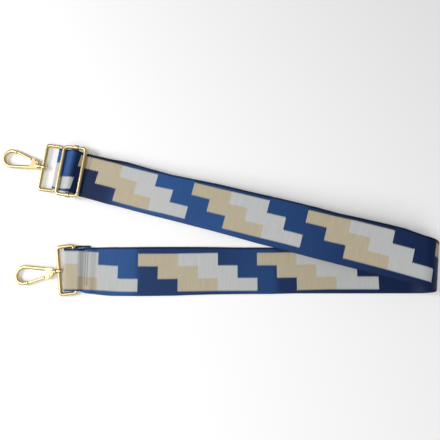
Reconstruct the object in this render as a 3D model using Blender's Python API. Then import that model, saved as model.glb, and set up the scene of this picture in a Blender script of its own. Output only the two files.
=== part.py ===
"""Detachable bag strap: wide patterned webbing, two swivel snap hooks and a sliding adjuster.

The strap lies folded once, as a narrow V. +X runs from the hooks to the fold, +Y from the
lower leg to the upper leg, +Z up from the surface that it lies on. The origin is on the lower
leg's flat underside, on its middle line. Lengths are in metres and angles in radians.
"""

import math

import bmesh
import bpy
from mathutils import Matrix, Vector

# Clearances
GAP = 0.0003            # running gap between neighbours that touch on the real strap
OVERRUN = 0.001         # how far a cutter runs past the solid that it cuts

# Webbing
WEBBING_WIDTH = 0.050
WEBBING_THICKNESS = 0.0014
POCKET_DRAW_IN = 0.0021     # each edge of the webbing, at the sewn pocket of the lower leg
LOOP_DRAW_IN = 0.0015       # each edge, where the webbing passes through the upper ring
HUMP_DRAW_IN = 0.0014       # each edge, where it passes through the slider
SEWN_DRAW_IN = 0.0020       # each edge, at the end that is sewn round the slider's bar

# How the strap lies
LEG_ANGLE = math.radians(15.1)      # between the two legs, seen from above
FOLD_RADIUS = 0.0200                # outer radius of the soft fold
FOLD_X = 0.2066                     # where the lower leg starts to turn up, on its middle line
FOLD_PARTS = 4                      # stretches that the fold is divided into to bend
LOWER_END_X = -0.1702               # leftmost edge of the lower leg's sewn pocket
SLIDER_RUN = 0.3868                 # from the end of the fold to the slider's middle
ADJUSTING_RUN = 0.300               # stretch of the upper leg that the slider takes up
ADJUSTER_SKEW = math.radians(7.5)   # turn of the slider and upper ring against the webbing
SLIDER_SIDE_STEP = 0.0004           # how far the slider lies to +Y of the webbing's middle

# Wire hardware
WIRE_RADIUS = 0.0017
RING_SPACING = 0.0175               # between the middles of a ring's two long bars
RING_END_GAP = 0.0007               # from the webbing's edge to the ring's short side
RING_CORNER = 0.0028                # bend radius at the wire's middle
SLIDER_SPACING = 0.0250             # between the middles of the slider's two long bars
SLIDER_END_GAP = 0.0021             # from the webbing's edge to the slider's short side
SLIDER_CORNER = 0.0040
BAR_RADIUS = 0.0016                 # slider's loose middle bar
BAR_OFFSET = 0.0015                 # middle bar, from the slider's middle towards the fold
BAR_PLAY = 0.0012                   # how far the middle bar can shift each way
CURL_WALL = 0.0010                  # curled ends of the middle bar
CURL_WIDTH = 0.0044
CURL_OPENING = math.radians(40)
LOWER_RING_SKEW = math.radians(7.5) # turn of the lower ring in its loose pocket
LOWER_RING_SET_IN = 0.0119          # from the pocket's edge to the ring's bar
LOWER_RING_SIDE_STEP = 0.0014       # how far the ring's bar lies to +Y

# Lower pocket and its tail
TAIL_LENGTH = 0.0265                # from the pocket's edge to the cut end under the leg
TAIL_SIDE_STEP = 0.0042             # how far the cut end lies to +Y, past the leg's edge
POCKET_SIDE_STEP = 0.0006
POCKET_SKEW = math.radians(4)       # turn of the pocket's folded edge
TAIL_STRAIGHT_RUN = 0.0060          # from the pocket's bend to where the tail turns aside
TAIL_TURN_RUN = 0.0040              # run in which the tail shifts sideways
POCKET_LENGTH = 0.0176              # flat top of the pocket
POCKET_FALL = 0.0038                # run in which the pocket comes down on the tail
TAIL_FALL = 0.0050                  # run in which the leg comes down off the tail
TAPER_RUN = 0.0340                  # run in which the webbing widens from the loop

# Return end, sewn round the slider's bar
RETURN_TAIL = 0.0055                # sewn part of the folded end
RETURN_LEAVE = math.radians(140)    # where the folded end leaves the bar
RETURN_BEND = 0.0010
SEWN_STRETCH = 0.0125               # of the return layer, held by the seam
LOOP_LIP = 0.0010                   # of webbing past the ring's bar on either layer

# Thread
THREAD_BLADE = 0.0004
THREAD_BEAD_WIDTH = 0.0013
THREAD_BEAD_HEIGHT = 0.0004
SEAM_MARGIN = 0.00375               # from the end of a row to the webbing's edge
LOWER_SEAMS = (0.0224, 0.0248)      # from the pocket's edge

# Swivel
SWIVEL_GAP = 0.0005                 # from the boss to the hook's neck and to the rivet's head
UPPER_HOOK_LEAN = math.radians(5.5) # lean of each hook's post in its wide bore
LOWER_HOOK_LEAN = math.radians(2.5)
BOSS_RADIUS = 0.0031
BOSS_LENGTH = 0.0044
POST_RADIUS = 0.0013
POST_LENGTH = 0.0075                # from the ring bar's middle into the neck
RIVET_HEAD_RADIUS = 0.0024
RIVET_HEAD_HEIGHT = 0.0013
RIVET_CROWN_SHARES = ((0, 0.5), (0.33, 0.85), (0.67, 1))   # of the head's height and radius

# Hook: x runs from the ring bar's middle to the tip, y towards the gate
HOOK_BAR_WIDTH = 0.0037
HOOK_DEPTH = 0.0042
HOOK_TIP = 0.0465                   # middle of the bar at the tip
NECK_RADIUS = 0.0032
NECK_END = 0.0085
SPINE_START = (0.0070, -0.0021)
SPINE_FAR_Y = -0.0095
SPINE_BEND = 0.0092
NOSE_FAR_Y = 0.0114
NOSE_BEND = 0.0084
NOSE_END = (0.0338, 0.0099)
YOKE_BACK = 0.0055
YOKE_FRONT = 0.0140
YOKE_DEPTH = 0.0056
YOKE_BACK_HALF = 0.0035
YOKE_LOW_Y = -0.0052
YOKE_HIGH_Y = 0.0076
YOKE_EDGE = 0.0008
SLOT_WIDTH = 0.0026
SLOT_BACK = 0.0078
SLOT_FLOOR = -0.0010

# Gate
PIN_PLACE = (0.0107, 0.0046)
PIN_RADIUS = 0.00075
PIN_HEAD_RADIUS = 0.00125
PIN_HEAD_HEIGHT = 0.0004
GATE_WIDTH = 0.0031
GATE_DEPTH = 0.0040
GATE_TAIL_RADIUS = 0.0023
GATE_START = 0.0155                 # where the gate takes its full depth
GATE_END = (0.0331, 0.0100)
SPRING_THICKNESS = 0.0004
SPRING_BEND = 0.0006
SPRING_DEPTH = 0.0017

# Steps of the round shapes
WIRE_SIDES = 10
BAR_SIDES = 12          # hook's bar, gate, and the gate's pin and its bores
BEND_STEPS = 5
EASE_STEPS = 6
ROUND_SIDES = 16
GATE_WAY_SIDES = 48
ARC_STEP = math.radians(15)
WIDE_ARC_STEP = math.radians(30)
SHARP_EDGE = math.radians(40)
HOOK_SQUARENESS_SHARE = 0.7     # of the power that rounds the section: 1 is an ellipse
GATE_SQUARENESS_SHARE = 0.6

# Sizes that follow from the ones above
HALF_ANGLE = LEG_ANGLE / 2
HALF_THICKNESS = WEBBING_THICKNESS / 2
POCKET_WIDTH = WEBBING_WIDTH - 2 * POCKET_DRAW_IN
LOOP_WIDTH = WEBBING_WIDTH - 2 * LOOP_DRAW_IN
HUMP_WIDTH = WEBBING_WIDTH - 2 * HUMP_DRAW_IN
SEWN_WIDTH = WEBBING_WIDTH - 2 * SEWN_DRAW_IN
LOOP_RADIUS = WIRE_RADIUS + GAP + HALF_THICKNESS            # webbing's middle round a ring's bar
BAR_LOOP_RADIUS = BAR_RADIUS + GAP + HALF_THICKNESS         # webbing's middle round the slider's bar
CREST_RADIUS = BAR_LOOP_RADIUS + WEBBING_THICKNESS + GAP    # the running webbing over that again
SLIDER_HEIGHT = WEBBING_THICKNESS + GAP + WIRE_RADIUS       # slider's wire over the leg's underside
RING_DROP = GAP + WIRE_RADIUS                               # ring's bar under the leg's underside
RING_RUN = SLIDER_SPACING / 2 + 2 * WIRE_RADIUS + GAP + BAR_RADIUS  # slider's middle to ring's bar
LOOP_DEPTH = RING_DROP + LOOP_RADIUS + HALF_THICKNESS       # loop's underside under the leg's
LEG_SLOPE = (2 * FOLD_RADIUS - WEBBING_THICKNESS - LOOP_DEPTH - GAP) / (
    SLIDER_RUN + RING_RUN + LOOP_WIDTH / 2 * math.tan(HALF_ANGLE)
)
FOLD_TILT = math.asin(LEG_SLOPE / math.cos(HALF_ANGLE))
FOLD_TURN = math.pi + FOLD_TILT
RING_LENGTH = LOOP_WIDTH + 2 * (RING_END_GAP + WIRE_RADIUS)
SLIDER_LENGTH = HUMP_WIDTH + 2 * (SLIDER_END_GAP + WIRE_RADIUS)
SEAM_LENGTH = SEWN_WIDTH - 2 * SEAM_MARGIN
LOWER_SEAM_SIDE_STEP = (TAIL_SIDE_STEP + POCKET_SIDE_STEP) / 2
HOOK_REACH = RING_SPACING + HOOK_TIP
HOOK_DROOP = math.asin((LOOP_RADIUS + HALF_THICKNESS - YOKE_DEPTH / 2 - GAP) / HOOK_REACH)


# Scene and materials

def clear_scene():
    """Remove every object that the open file holds."""
    for old in list(bpy.data.objects):
        bpy.data.objects.remove(old, do_unlink=True)


def make_material(name, colour, roughness, metallic):
    """Return a Principled material of one colour."""
    made = bpy.data.materials.new(name)
    made.use_nodes = True
    shader = made.node_tree.nodes["Principled BSDF"]
    shader.inputs["Base Color"].default_value = (*colour, 1.0)
    shader.inputs["Roughness"].default_value = roughness
    shader.inputs["Metallic"].default_value = metallic
    return made


def make_place(name, matrix, parent=None):
    """Return an empty that stands on a joint or carries a group of pieces."""
    empty = bpy.data.objects.new(name, None)
    bpy.context.collection.objects.link(empty)
    empty.parent = parent
    empty.matrix_local = matrix
    return empty


def make_piece(name, points, faces, material, parent=None, smooth=True):
    """Return an object with a closed mesh of these points and faces."""
    mesh = bpy.data.meshes.new(name)
    mesh.from_pydata([tuple(p) for p in points], [], faces)
    work = bmesh.new()
    work.from_mesh(mesh)
    bmesh.ops.recalc_face_normals(work, faces=work.faces)
    work.to_mesh(mesh)
    work.free()
    if smooth:
        mesh.shade_smooth()
        mesh.set_sharp_from_angle(angle=SHARP_EDGE)
    if material is not None:
        mesh.materials.append(material)
    piece = bpy.data.objects.new(name, mesh)
    bpy.context.collection.objects.link(piece)
    piece.parent = parent
    return piece


def make_helper(name, points, faces, parent=None):
    """Return a shape that only cuts or joins others, and isn't a piece itself."""
    helper = make_piece(name, points, faces, None, parent, smooth=False)
    helper.hide_render = True
    helper.display_type = "WIRE"
    return helper


def combine(piece, helper, operation):
    """Add a live Boolean of the helper to the piece: UNION or DIFFERENCE."""
    boolean = piece.modifiers.new(f"{operation.lower()} {helper.name}", "BOOLEAN")
    boolean.operation = operation
    boolean.solver = "EXACT"
    boolean.object = helper


# Outlines and solids

def on_circle(centre, radius, angle):
    """Return the point of a circle at an angle from +X."""
    return (centre[0] + radius * math.cos(angle), centre[1] + radius * math.sin(angle))


def arc(centre, radius, start, end, step=ARC_STEP):
    """Return points along an arc, both ends included."""
    count = max(1, math.ceil(abs(end - start) / step))
    return [on_circle(centre, radius, start + (end - start) * i / count) for i in range(count + 1)]


def ease(start, end):
    """Return points between two places that leave and arrive level, on a cosine."""
    points = []
    for i in range(1, EASE_STEPS + 1):
        along = i / EASE_STEPS
        rise = (1 - math.cos(math.pi * along)) / 2
        points.append((start[0] + (end[0] - start[0]) * along, start[1] + (end[1] - start[1]) * rise))
    return points


def rounded(corners, radii, step=ARC_STEP):
    """Return an open outline through corners, each inner one rounded by its radius."""
    points = [corners[0]]
    for before, corner, after, radius in zip(corners, corners[1:], corners[2:], radii):
        to_before = (Vector(before) - Vector(corner)).normalized()
        to_after = (Vector(after) - Vector(corner)).normalized()
        half = to_before.angle(to_after) / 2
        inward = (to_before + to_after).normalized()
        centre = Vector(corner) + inward * radius / math.sin(half)
        start = Vector(corner) + to_before * radius / math.tan(half) - centre
        turn = math.pi - 2 * half
        if to_before.x * to_after.y - to_before.y * to_after.x > 0:
            turn = -turn
        first = math.atan2(start.y, start.x)
        points += arc(tuple(centre), radius, first, first + turn, step)
    points.append(corners[-1])
    return points


def box_faces():
    """Return the six faces of an eight-cornered block, corners as two rings of four."""
    return [(0, 1, 2, 3), (7, 6, 5, 4), (0, 4, 5, 1), (1, 5, 6, 2), (2, 6, 7, 3), (3, 7, 4, 0)]


def block(low, high):
    """Return the points and faces of a straight block."""
    (a, b, c), (d, e, f) = low, high
    ring = [(a, b), (d, b), (d, e), (a, e)]
    return [(x, y, z) for z in (c, f) for x, y in ring], box_faces()


def prism(outline, low, high):
    """Return the points and faces of a flat outline in x and y, extruded in z."""
    count = len(outline)
    points = [(x, y, low) for x, y in outline] + [(x, y, high) for x, y in outline]
    sides = [(i, (i + 1) % count, count + (i + 1) % count, count + i) for i in range(count)]
    return points, [tuple(range(count))[::-1], tuple(range(count, 2 * count))] + sides


def turned(profile, sides=ROUND_SIDES):
    """Return a solid turned round the x axis; the profile is (x, radius) from end to end."""
    points = []
    for x, radius in profile:
        for i in range(sides):
            angle = 2 * math.pi * i / sides
            points.append((x, radius * math.cos(angle), radius * math.sin(angle)))
    return points, tube_faces(len(profile), sides, closed=False)


def tube_faces(rings, sides, closed):
    """Return the faces that join rings of equal sides, with flat ends unless closed."""
    faces = []
    for i in range(rings if closed else rings - 1):
        here, there = i * sides, (i + 1) % rings * sides
        for j in range(sides):
            k = (j + 1) % sides
            faces.append((here + j, here + k, there + k, there + j))
    if not closed:
        faces.append(tuple(range(sides)))
        faces.append(tuple(range((rings - 1) * sides, rings * sides))[::-1])
    return faces


def swept(path, half_width, half_depth, closed, sides=WIRE_SIDES, squareness=1.0):
    """Return a bar with a rounded section carried along a path in the x-y plane.

    The section is a superellipse: 1 is an ellipse, and less is nearer a rectangle.
    """
    points = []
    count = len(path)
    for i, (x, y) in enumerate(path):
        before = path[i - 1] if closed or i else path[0]
        after = path[(i + 1) % count] if closed or i < count - 1 else path[-1]
        along = (Vector(after) - Vector(before)).normalized()
        for j in range(sides):
            angle = 2 * math.pi * (j + 0.5) / sides
            side = math.copysign(abs(math.cos(angle)) ** squareness, math.cos(angle)) * half_width
            up = math.copysign(abs(math.sin(angle)) ** squareness, math.sin(angle)) * half_depth
            points.append((x - along.y * side, y + along.x * side, up))
    return points, tube_faces(count, sides, closed)


def strip(stations):
    """Return webbing carried along a path in the x-z plane.

    A station is (x, z, half width, side step, skew): the webbing's middle, half its width, how
    far it lies to +Y, and how far its end turns, as x over y.
    """
    points = []
    for i, (x, z, half_width, side_step, skew) in enumerate(stations):
        before = stations[max(i - 1, 0)]
        after = stations[min(i + 1, len(stations) - 1)]
        along = Vector((after[0] - before[0], after[1] - before[1])).normalized()
        out = Vector((-along.y, along.x)) * HALF_THICKNESS
        for side, layer in ((-1, -1), (1, -1), (1, 1), (-1, 1)):
            y = side_step + side * half_width
            points.append((x + skew * y + layer * out.x, y, z + layer * out.y))
    return points, tube_faces(len(stations), 4, closed=False)


def skewed_webbing(name, path, start, end, material, parent):
    """Make webbing that crosses the skewed slider; it goes from one width to another."""
    stations = []
    for i, (x, z) in enumerate(path):
        width = start + (end - start) * i / (len(path) - 1)
        stations.append((x, z, width / 2, -x * math.tan(ADJUSTER_SKEW), 0))
    points, faces = strip(stations)
    return make_piece(name, points, faces, material, parent)


# The fold's own frame: a cylinder whose axis lies across the strap, turned by half the legs' angle

FOLD_AXIS = Vector((math.sin(HALF_ANGLE), math.cos(HALF_ANGLE), 0))
FOLD_OUT = Vector((math.cos(HALF_ANGLE), -math.sin(HALF_ANGLE), 0))
UP = Vector((0, 0, 1))


def fold_point(turn, radius, along):
    """Return a point of the fold: its angle from the floor, radius, and place along the axis."""
    flat = Vector((FOLD_X, 0, 0)) + FOLD_AXIS * along + FOLD_OUT * radius * math.sin(turn)
    return flat + UP * (FOLD_RADIUS - radius * math.cos(turn))


def fold_edges(turn):
    """Return where the strap's two edges cross the fold at an angle, along the axis."""
    middle = FOLD_RADIUS * turn * math.tan(HALF_ANGLE)
    half = WEBBING_WIDTH / 2 / math.cos(HALF_ANGLE)
    return middle - half, middle + half


def fold_joint(part):
    """Return the point of the axis about which one stretch of the fold opens."""
    turn = FOLD_TURN / FOLD_PARTS
    radius = (FOLD_RADIUS - HALF_THICKNESS) / math.cos(turn / 2)
    return fold_point(turn * (part + 0.5), radius, 0)


def leg_matrix():
    """Return the upper leg's frame: x towards the fold, z out of the face that shows."""
    across = FOLD_RADIUS * FOLD_TURN * math.tan(HALF_ANGLE)
    origin = fold_point(FOLD_TURN, FOLD_RADIUS, across)
    down = -FOLD_OUT * math.cos(FOLD_TILT) - UP * math.sin(FOLD_TILT)
    x_axis = -(down * math.cos(HALF_ANGLE) + FOLD_AXIS * math.sin(HALF_ANGLE))
    y_axis = FOLD_AXIS * math.cos(HALF_ANGLE) - down * math.sin(HALF_ANGLE)
    turned_axes = Matrix((x_axis, y_axis, x_axis.cross(y_axis))).transposed()
    return Matrix.Translation(origin) @ turned_axes.to_4x4()


# Webbing pieces

def lower_leg_stations():
    """Return the lower leg from the tail's cut end, round the pocket, to the fold."""
    pocket_middle = LOWER_END_X + LOOP_RADIUS + HALF_THICKNESS
    centre = (pocket_middle, LOOP_RADIUS + HALF_THICKNESS)
    over_tail = WEBBING_THICKNESS + GAP + HALF_THICKNESS
    tail_end = LOWER_END_X + TAIL_LENGTH
    pocket_end = LOWER_END_X + POCKET_LENGTH
    narrow, wide = POCKET_WIDTH / 2, WEBBING_WIDTH / 2
    turn_start = pocket_middle + TAIL_STRAIGHT_RUN
    turn = -math.tan(POCKET_SKEW)
    stations = [(tail_end, HALF_THICKNESS, narrow, TAIL_SIDE_STEP, 0)]
    stations.append((turn_start + TAIL_TURN_RUN, HALF_THICKNESS, narrow, TAIL_SIDE_STEP, turn))
    stations.append((turn_start, HALF_THICKNESS, narrow, POCKET_SIDE_STEP, turn))
    for x, z in arc(centre, LOOP_RADIUS, -math.pi / 2, -3 * math.pi / 2):
        stations.append((x, z, narrow, POCKET_SIDE_STEP, turn))
    level = (pocket_end, centre[1] + LOOP_RADIUS)
    sewn = (level[0] + POCKET_FALL, over_tail)
    leave = (tail_end, over_tail)
    landed = (tail_end + TAIL_FALL, HALF_THICKNESS)
    path = [level] + ease(level, sewn) + [leave] + ease(leave, landed)
    taper_end = pocket_end + TAPER_RUN
    path.append((taper_end, HALF_THICKNESS))
    for x, z in path:
        share = (x - pocket_end) / TAPER_RUN
        half_width = narrow + (wide - narrow) * share
        skew = turn * max(0, (sewn[0] - x) / (sewn[0] - pocket_middle))
        stations.append((x, z, half_width, POCKET_SIDE_STEP * (1 - share), skew))
    stations.append((FOLD_X - GAP / 2, HALF_THICKNESS, wide, 0, math.tan(HALF_ANGLE)))
    return stations


def seam_solid():
    """Return a row of thread: a blade through both layers under a bead, in x, y and z."""
    blade, bead = THREAD_BLADE / 2, THREAD_BEAD_WIDTH / 2
    top = 2 * WEBBING_THICKNESS + 2 * GAP
    outline = [
        (-blade, GAP), (blade, GAP), (blade, top), (bead, top),
        (bead, top + THREAD_BEAD_HEIGHT), (-bead, top + THREAD_BEAD_HEIGHT), (-bead, top), (-blade, top),
    ]
    flat, faces = prism(outline, -SEAM_LENGTH / 2, SEAM_LENGTH / 2)
    return [(x, y, z) for x, z, y in flat], faces


def seam_slot(name, parent):
    """Return the cutter that lets a row of thread through two layers."""
    half = THREAD_BLADE / 2 + GAP
    length = SEAM_LENGTH / 2 + GAP
    height = 2 * WEBBING_THICKNESS + GAP + OVERRUN
    points, faces = block((-half, -length, -OVERRUN), (half, length, height))
    return make_helper(name, points, faces, parent)


def build_seam(number, where, webbing_piece, material, parent):
    """Sew one row of thread through a webbing piece."""
    place = make_place(f"seam_place_{number}", where, parent)
    combine(webbing_piece, seam_slot(f"seam_slot_{number}", place), "DIFFERENCE")
    points, faces = seam_solid()
    return make_piece(f"stitching_{number}", points, faces, material, place, smooth=False)


def build_lower_leg(cloth, thread):
    """Make the lower leg with its sewn pocket, and the two rows of thread in it."""
    points, faces = strip(lower_leg_stations())
    leg = make_piece("webbing_lower_leg", points, faces, cloth)
    for i, reach in enumerate(LOWER_SEAMS):
        where = Matrix.Translation((LOWER_END_X + reach, LOWER_SEAM_SIDE_STEP, 0))
        build_seam(f"fixed_end_{i + 1}", where, leg, thread, None)


def build_fold(cloth):
    """Make the soft fold as stretches that each bend about their own joint."""
    turn = FOLD_TURN / FOLD_PARTS
    edge = GAP / 2 / FOLD_RADIUS
    for part in range(FOLD_PARTS):
        start, end = part * turn + edge, (part + 1) * turn - edge
        steps = max(2, round((end - start) / ARC_STEP))
        place = make_place(f"fold_joint_{part + 1}", Matrix.Translation(fold_joint(part)))
        points = []
        for i in range(steps + 1):
            angle = start + (end - start) * i / steps
            low, high = fold_edges(angle)
            inner = FOLD_RADIUS - WEBBING_THICKNESS
            for along, radius in ((low, FOLD_RADIUS), (high, FOLD_RADIUS), (high, inner), (low, inner)):
                points.append(fold_point(angle, radius, along) - fold_joint(part))
        faces = tube_faces(steps + 1, 4, closed=False)
        make_piece(f"webbing_fold_{part + 1}", points, faces, cloth, place)


def build_upper_leg(cloth, leg):
    """Make the upper leg: its fixed stretch by the fold, and the run that the slider takes up."""
    level = -HALF_THICKNESS
    wide = WEBBING_WIDTH / 2
    run_start = -(SLIDER_RUN - SLIDER_SPACING / 2 - ADJUSTING_RUN)
    stations = [
        (run_start + GAP / 2, level, wide, 0, -math.tan(ADJUSTER_SKEW)),
        (-GAP / 2, level, wide, 0, -math.tan(HALF_ANGLE)),
    ]
    points, faces = strip(stations)
    make_piece("webbing_upper_leg", points, faces, cloth, leg)
    end = -SLIDER_RUN + (SLIDER_SPACING / 2 + GAP / 2) / math.cos(ADJUSTER_SKEW)
    narrow = (WEBBING_WIDTH + HUMP_WIDTH) / 4
    stations = [
        (end, level, narrow, 0, -math.tan(ADJUSTER_SKEW)),
        (end + TAPER_RUN, level, wide, 0, -math.tan(ADJUSTER_SKEW)),
        (run_start - GAP / 2, level, wide, 0, -math.tan(ADJUSTER_SKEW)),
    ]
    points, faces = strip(stations)
    make_piece("webbing_adjusting_run", points, faces, cloth, leg)


def hump_path():
    """Return the webbing over the slider's middle bar, from its right bar to its left one."""
    toe_in = BAR_PLAY
    right = (SLIDER_SPACING / 2 - toe_in, SLIDER_HEIGHT)
    left = (-SLIDER_SPACING / 2 + toe_in, SLIDER_HEIGHT)
    crest = (BAR_OFFSET, SLIDER_HEIGHT)
    both = LOOP_RADIUS + CREST_RADIUS
    climb = math.asin(both / (right[0] - crest[0]))
    fall = math.asin(both / (crest[0] - left[0]))
    quarter = math.pi / 2
    path = [(SLIDER_SPACING / 2 - GAP / 2, HALF_THICKNESS)]
    path += arc(right, LOOP_RADIUS, -quarter, -quarter - climb)
    path += arc(crest, CREST_RADIUS, quarter - climb, quarter + fall)
    path += arc(left, LOOP_RADIUS, -quarter + fall, -quarter)
    path.append((-SLIDER_SPACING / 2 + GAP / 2, HALF_THICKNESS))
    return path


def return_line():
    """Return the straight return layer under the loop and the bar: two points and its slope."""
    loop, bar = (-RING_RUN, -RING_DROP), (BAR_OFFSET, SLIDER_HEIGHT)
    run, rise = bar[0] - loop[0], bar[1] - loop[1]
    slope = math.atan2(rise, run) + math.asin((LOOP_RADIUS - BAR_LOOP_RADIUS) / math.hypot(run, rise))
    below = slope - math.pi / 2
    return on_circle(loop, LOOP_RADIUS, below), on_circle(bar, BAR_LOOP_RADIUS, below), slope


def along_return(distance, lift=0.0):
    """Return a point of the return layer, from the bar back towards the ring."""
    start, end, slope = return_line()
    x = end[0] - distance * math.cos(slope) - lift * math.sin(slope)
    return (x, end[1] - distance * math.sin(slope) + lift * math.cos(slope))


def return_length():
    """Return the length of the straight return layer."""
    start, end, slope = return_line()
    return math.hypot(end[0] - start[0], end[1] - start[1])


def loop_side_step():
    """Return how far to +Y of the slider the webbing reaches the upper ring."""
    return RING_RUN * math.tan(ADJUSTER_SKEW)


def sewn_end_path():
    """Return the end of the webbing: up round the slider's bar and back on itself."""
    slope = return_line()[2]
    bar = (BAR_OFFSET, SLIDER_HEIGHT)
    lift = WEBBING_THICKNESS + GAP
    leave = on_circle(bar, BAR_LOOP_RADIUS, RETURN_LEAVE)
    heading = RETURN_LEAVE + math.pi / 2
    level = along_return(0, lift)
    # where the falling stretch meets the line that lies on the return layer
    dx, dy = math.cos(heading), math.sin(heading)
    ex, ey = -math.cos(slope), -math.sin(slope)
    cross = dx * ey - dy * ex
    run = ((level[0] - leave[0]) * ey - (level[1] - leave[1]) * ex) / cross
    corner = (leave[0] + dx * run, leave[1] + dy * run)
    end = (corner[0] + ex * RETURN_TAIL, corner[1] + ey * RETURN_TAIL)
    path = [along_return(SEWN_STRETCH - GAP / 2)]
    path += arc(bar, BAR_LOOP_RADIUS, slope - math.pi / 2, RETURN_LEAVE)
    return path + rounded([leave, corner, end], [RETURN_BEND])[1:], corner


def build_adjuster_webbing(cloth, thread, slider, bar, loop):
    """Make the webbing in the slider: hump, sewn end, return layer, top link and ring loop."""
    into_bar = Matrix.Translation((-BAR_OFFSET, 0, -SLIDER_HEIGHT))
    into_loop = Matrix.Translation((RING_RUN, -loop_side_step(), RING_DROP))
    hump = skewed_webbing("webbing_hump", hump_path(), HUMP_WIDTH, LOOP_WIDTH, cloth, bar)
    hump.matrix_local = into_bar
    path, corner = sewn_end_path()
    sewn = skewed_webbing("webbing_sewn_end", path, SEWN_WIDTH, SEWN_WIDTH, cloth, bar)
    sewn.matrix_local = into_bar
    slope = return_line()[2]
    seam_back = (along_return(0)[0] - corner[0]) / math.cos(slope) + RETURN_TAIL / 2
    foot = along_return(seam_back, -HALF_THICKNESS)
    side_step = -foot[0] * math.tan(ADJUSTER_SKEW)
    at_foot = Matrix.Translation((foot[0], side_step, foot[1]))
    where = into_bar @ at_foot @ Matrix.Rotation(-slope, 4, "Y")
    build_seam("adjusting_end", where, sewn, thread, bar)

    lip = along_return(return_length() - LOOP_LIP)
    ring_bar = (-RING_RUN, -RING_DROP)
    top_end = -RING_RUN + LOOP_LIP
    path = [(top_end, HALF_THICKNESS)]
    path += arc(ring_bar, LOOP_RADIUS, math.pi / 2, 3 * math.pi / 2 + slope)
    path.append(lip)
    ring_loop = skewed_webbing("webbing_ring_loop", path, LOOP_WIDTH, LOOP_WIDTH, cloth, loop)
    ring_loop.matrix_local = into_loop
    path = [along_return(SEWN_STRETCH + GAP / 2), along_return(return_length() - LOOP_LIP - GAP)]
    skewed_webbing("webbing_return_layer", path, SEWN_WIDTH, LOOP_WIDTH, cloth, slider)
    path = [(top_end + GAP, HALF_THICKNESS), (-SLIDER_SPACING / 2 - GAP / 2, HALF_THICKNESS)]
    skewed_webbing("webbing_top_link", path, LOOP_WIDTH, LOOP_WIDTH, cloth, slider)


# Wire hardware

def wire_frame(spacing, length, corner, side):
    """Return a closed rounded rectangle of wire; one long bar is on the y axis."""
    half = length / 2
    corners = [(0, half), (spacing * side, half), (spacing * side, -half), (0, -half)]
    path = []
    for i, (x, y) in enumerate(corners):
        centre = (x - math.copysign(corner, x - spacing * side / 2), y - math.copysign(corner, y))
        start = math.atan2(y - centre[1], 0) if i % 2 else math.atan2(0, x - centre[0])
        turn = -side * math.pi / 2
        path += arc(centre, corner, start, start + turn, math.pi / 2 / BEND_STEPS)
    return swept(path, WIRE_RADIUS, WIRE_RADIUS, closed=True)


def build_slider(metal, slider, bar):
    """Make the slider's wire frame and its loose middle bar with curled ends."""
    points, faces = wire_frame(SLIDER_SPACING, SLIDER_LENGTH, SLIDER_CORNER, 1)
    frame = make_piece("slider_frame", points, faces, metal, slider)
    frame.location = (-SLIDER_SPACING / 2, SLIDER_SIDE_STEP, SLIDER_HEIGHT)

    curl_radius = WIRE_RADIUS + GAP + CURL_WALL / 2
    reach = SLIDER_LENGTH / 2 - curl_radius
    points, faces = turned([(-reach, BAR_RADIUS), (reach, BAR_RADIUS)])
    rod = make_piece("slider_bar", [(z, x, y) for x, y, z in points], faces, metal, bar)
    rod.location.y = SLIDER_SIDE_STEP
    for side, name in ((1, "top"), (-1, "bottom")):
        curl = []
        centre = (side * SLIDER_LENGTH / 2, 0)
        first = math.pi / 2 * (1 - side) + math.pi + side * CURL_OPENING / 2
        for y, z in arc(centre, curl_radius, first, first + side * (2 * math.pi - CURL_OPENING)):
            curl.append((y, z))
        points, faces = curled_plate(curl, centre)
        combine(rod, make_helper(f"bar_curl_{name}", points, faces, rod), "UNION")


def curled_plate(path, centre):
    """Return a plate carried round a circle in the y-z plane, as wide as a curled end."""
    points = []
    for y, z in path:
        out = (Vector((y, z)) - Vector(centre)).normalized() * CURL_WALL / 2
        for x, side in ((-1, -1), (1, -1), (1, 1), (-1, 1)):
            points.append((x * CURL_WIDTH / 2, y + side * out.x, z + side * out.y))
    return points, tube_faces(len(path), 4, closed=False)


def build_ring(end, metal, place):
    """Make a ring with the bored boss in its outer bar; the inner bar is its hinge."""
    points, faces = wire_frame(RING_SPACING, RING_LENGTH, RING_CORNER, 1)
    ring = make_piece(f"ring_{end}", points, faces, metal, place)
    half = BOSS_LENGTH / 2
    points, faces = turned([(-half, BOSS_RADIUS), (half, BOSS_RADIUS)])
    boss = make_helper(f"ring_boss_{end}", points, faces, place)
    boss.location.x = RING_SPACING
    bore_end = half + OVERRUN
    points, faces = turned([(-bore_end, POST_RADIUS + GAP), (bore_end, POST_RADIUS + GAP)])
    bore = make_helper(f"ring_bore_{end}", points, faces, place)
    bore.location.x = RING_SPACING
    combine(ring, boss, "UNION")
    combine(ring, bore, "DIFFERENCE")


# Hook pieces, in the hook's own frame

def gate_angle():
    """Return the slope of the closed gate, from its pin to its free end."""
    return math.atan2(GATE_END[1] - PIN_PLACE[1], GATE_END[0] - PIN_PLACE[0])


def nose_cut():
    """Return how far the nose's end lies from the gate's pin, so that the gate can pass."""
    reach = math.hypot(GATE_END[0] - PIN_PLACE[0], GATE_END[1] - PIN_PLACE[1])
    return math.hypot(reach, GATE_WIDTH / 2) + GAP


def hook_path():
    """Return the middle of the hook's bar: spine, round tip and nose."""
    corners = [SPINE_START, (HOOK_TIP, SPINE_FAR_Y), (HOOK_TIP, NOSE_FAR_Y), NOSE_END]
    return rounded(corners, [SPINE_BEND, NOSE_BEND])


def yoke_outline():
    """Return the block that carries the gate, between the neck and the eye."""
    return [
        (YOKE_BACK, -YOKE_BACK_HALF), (YOKE_FRONT, YOKE_LOW_Y), (YOKE_FRONT, YOKE_HIGH_Y),
        (PIN_PLACE[0], YOKE_HIGH_Y), (YOKE_BACK, YOKE_BACK_HALF),
    ]


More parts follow.
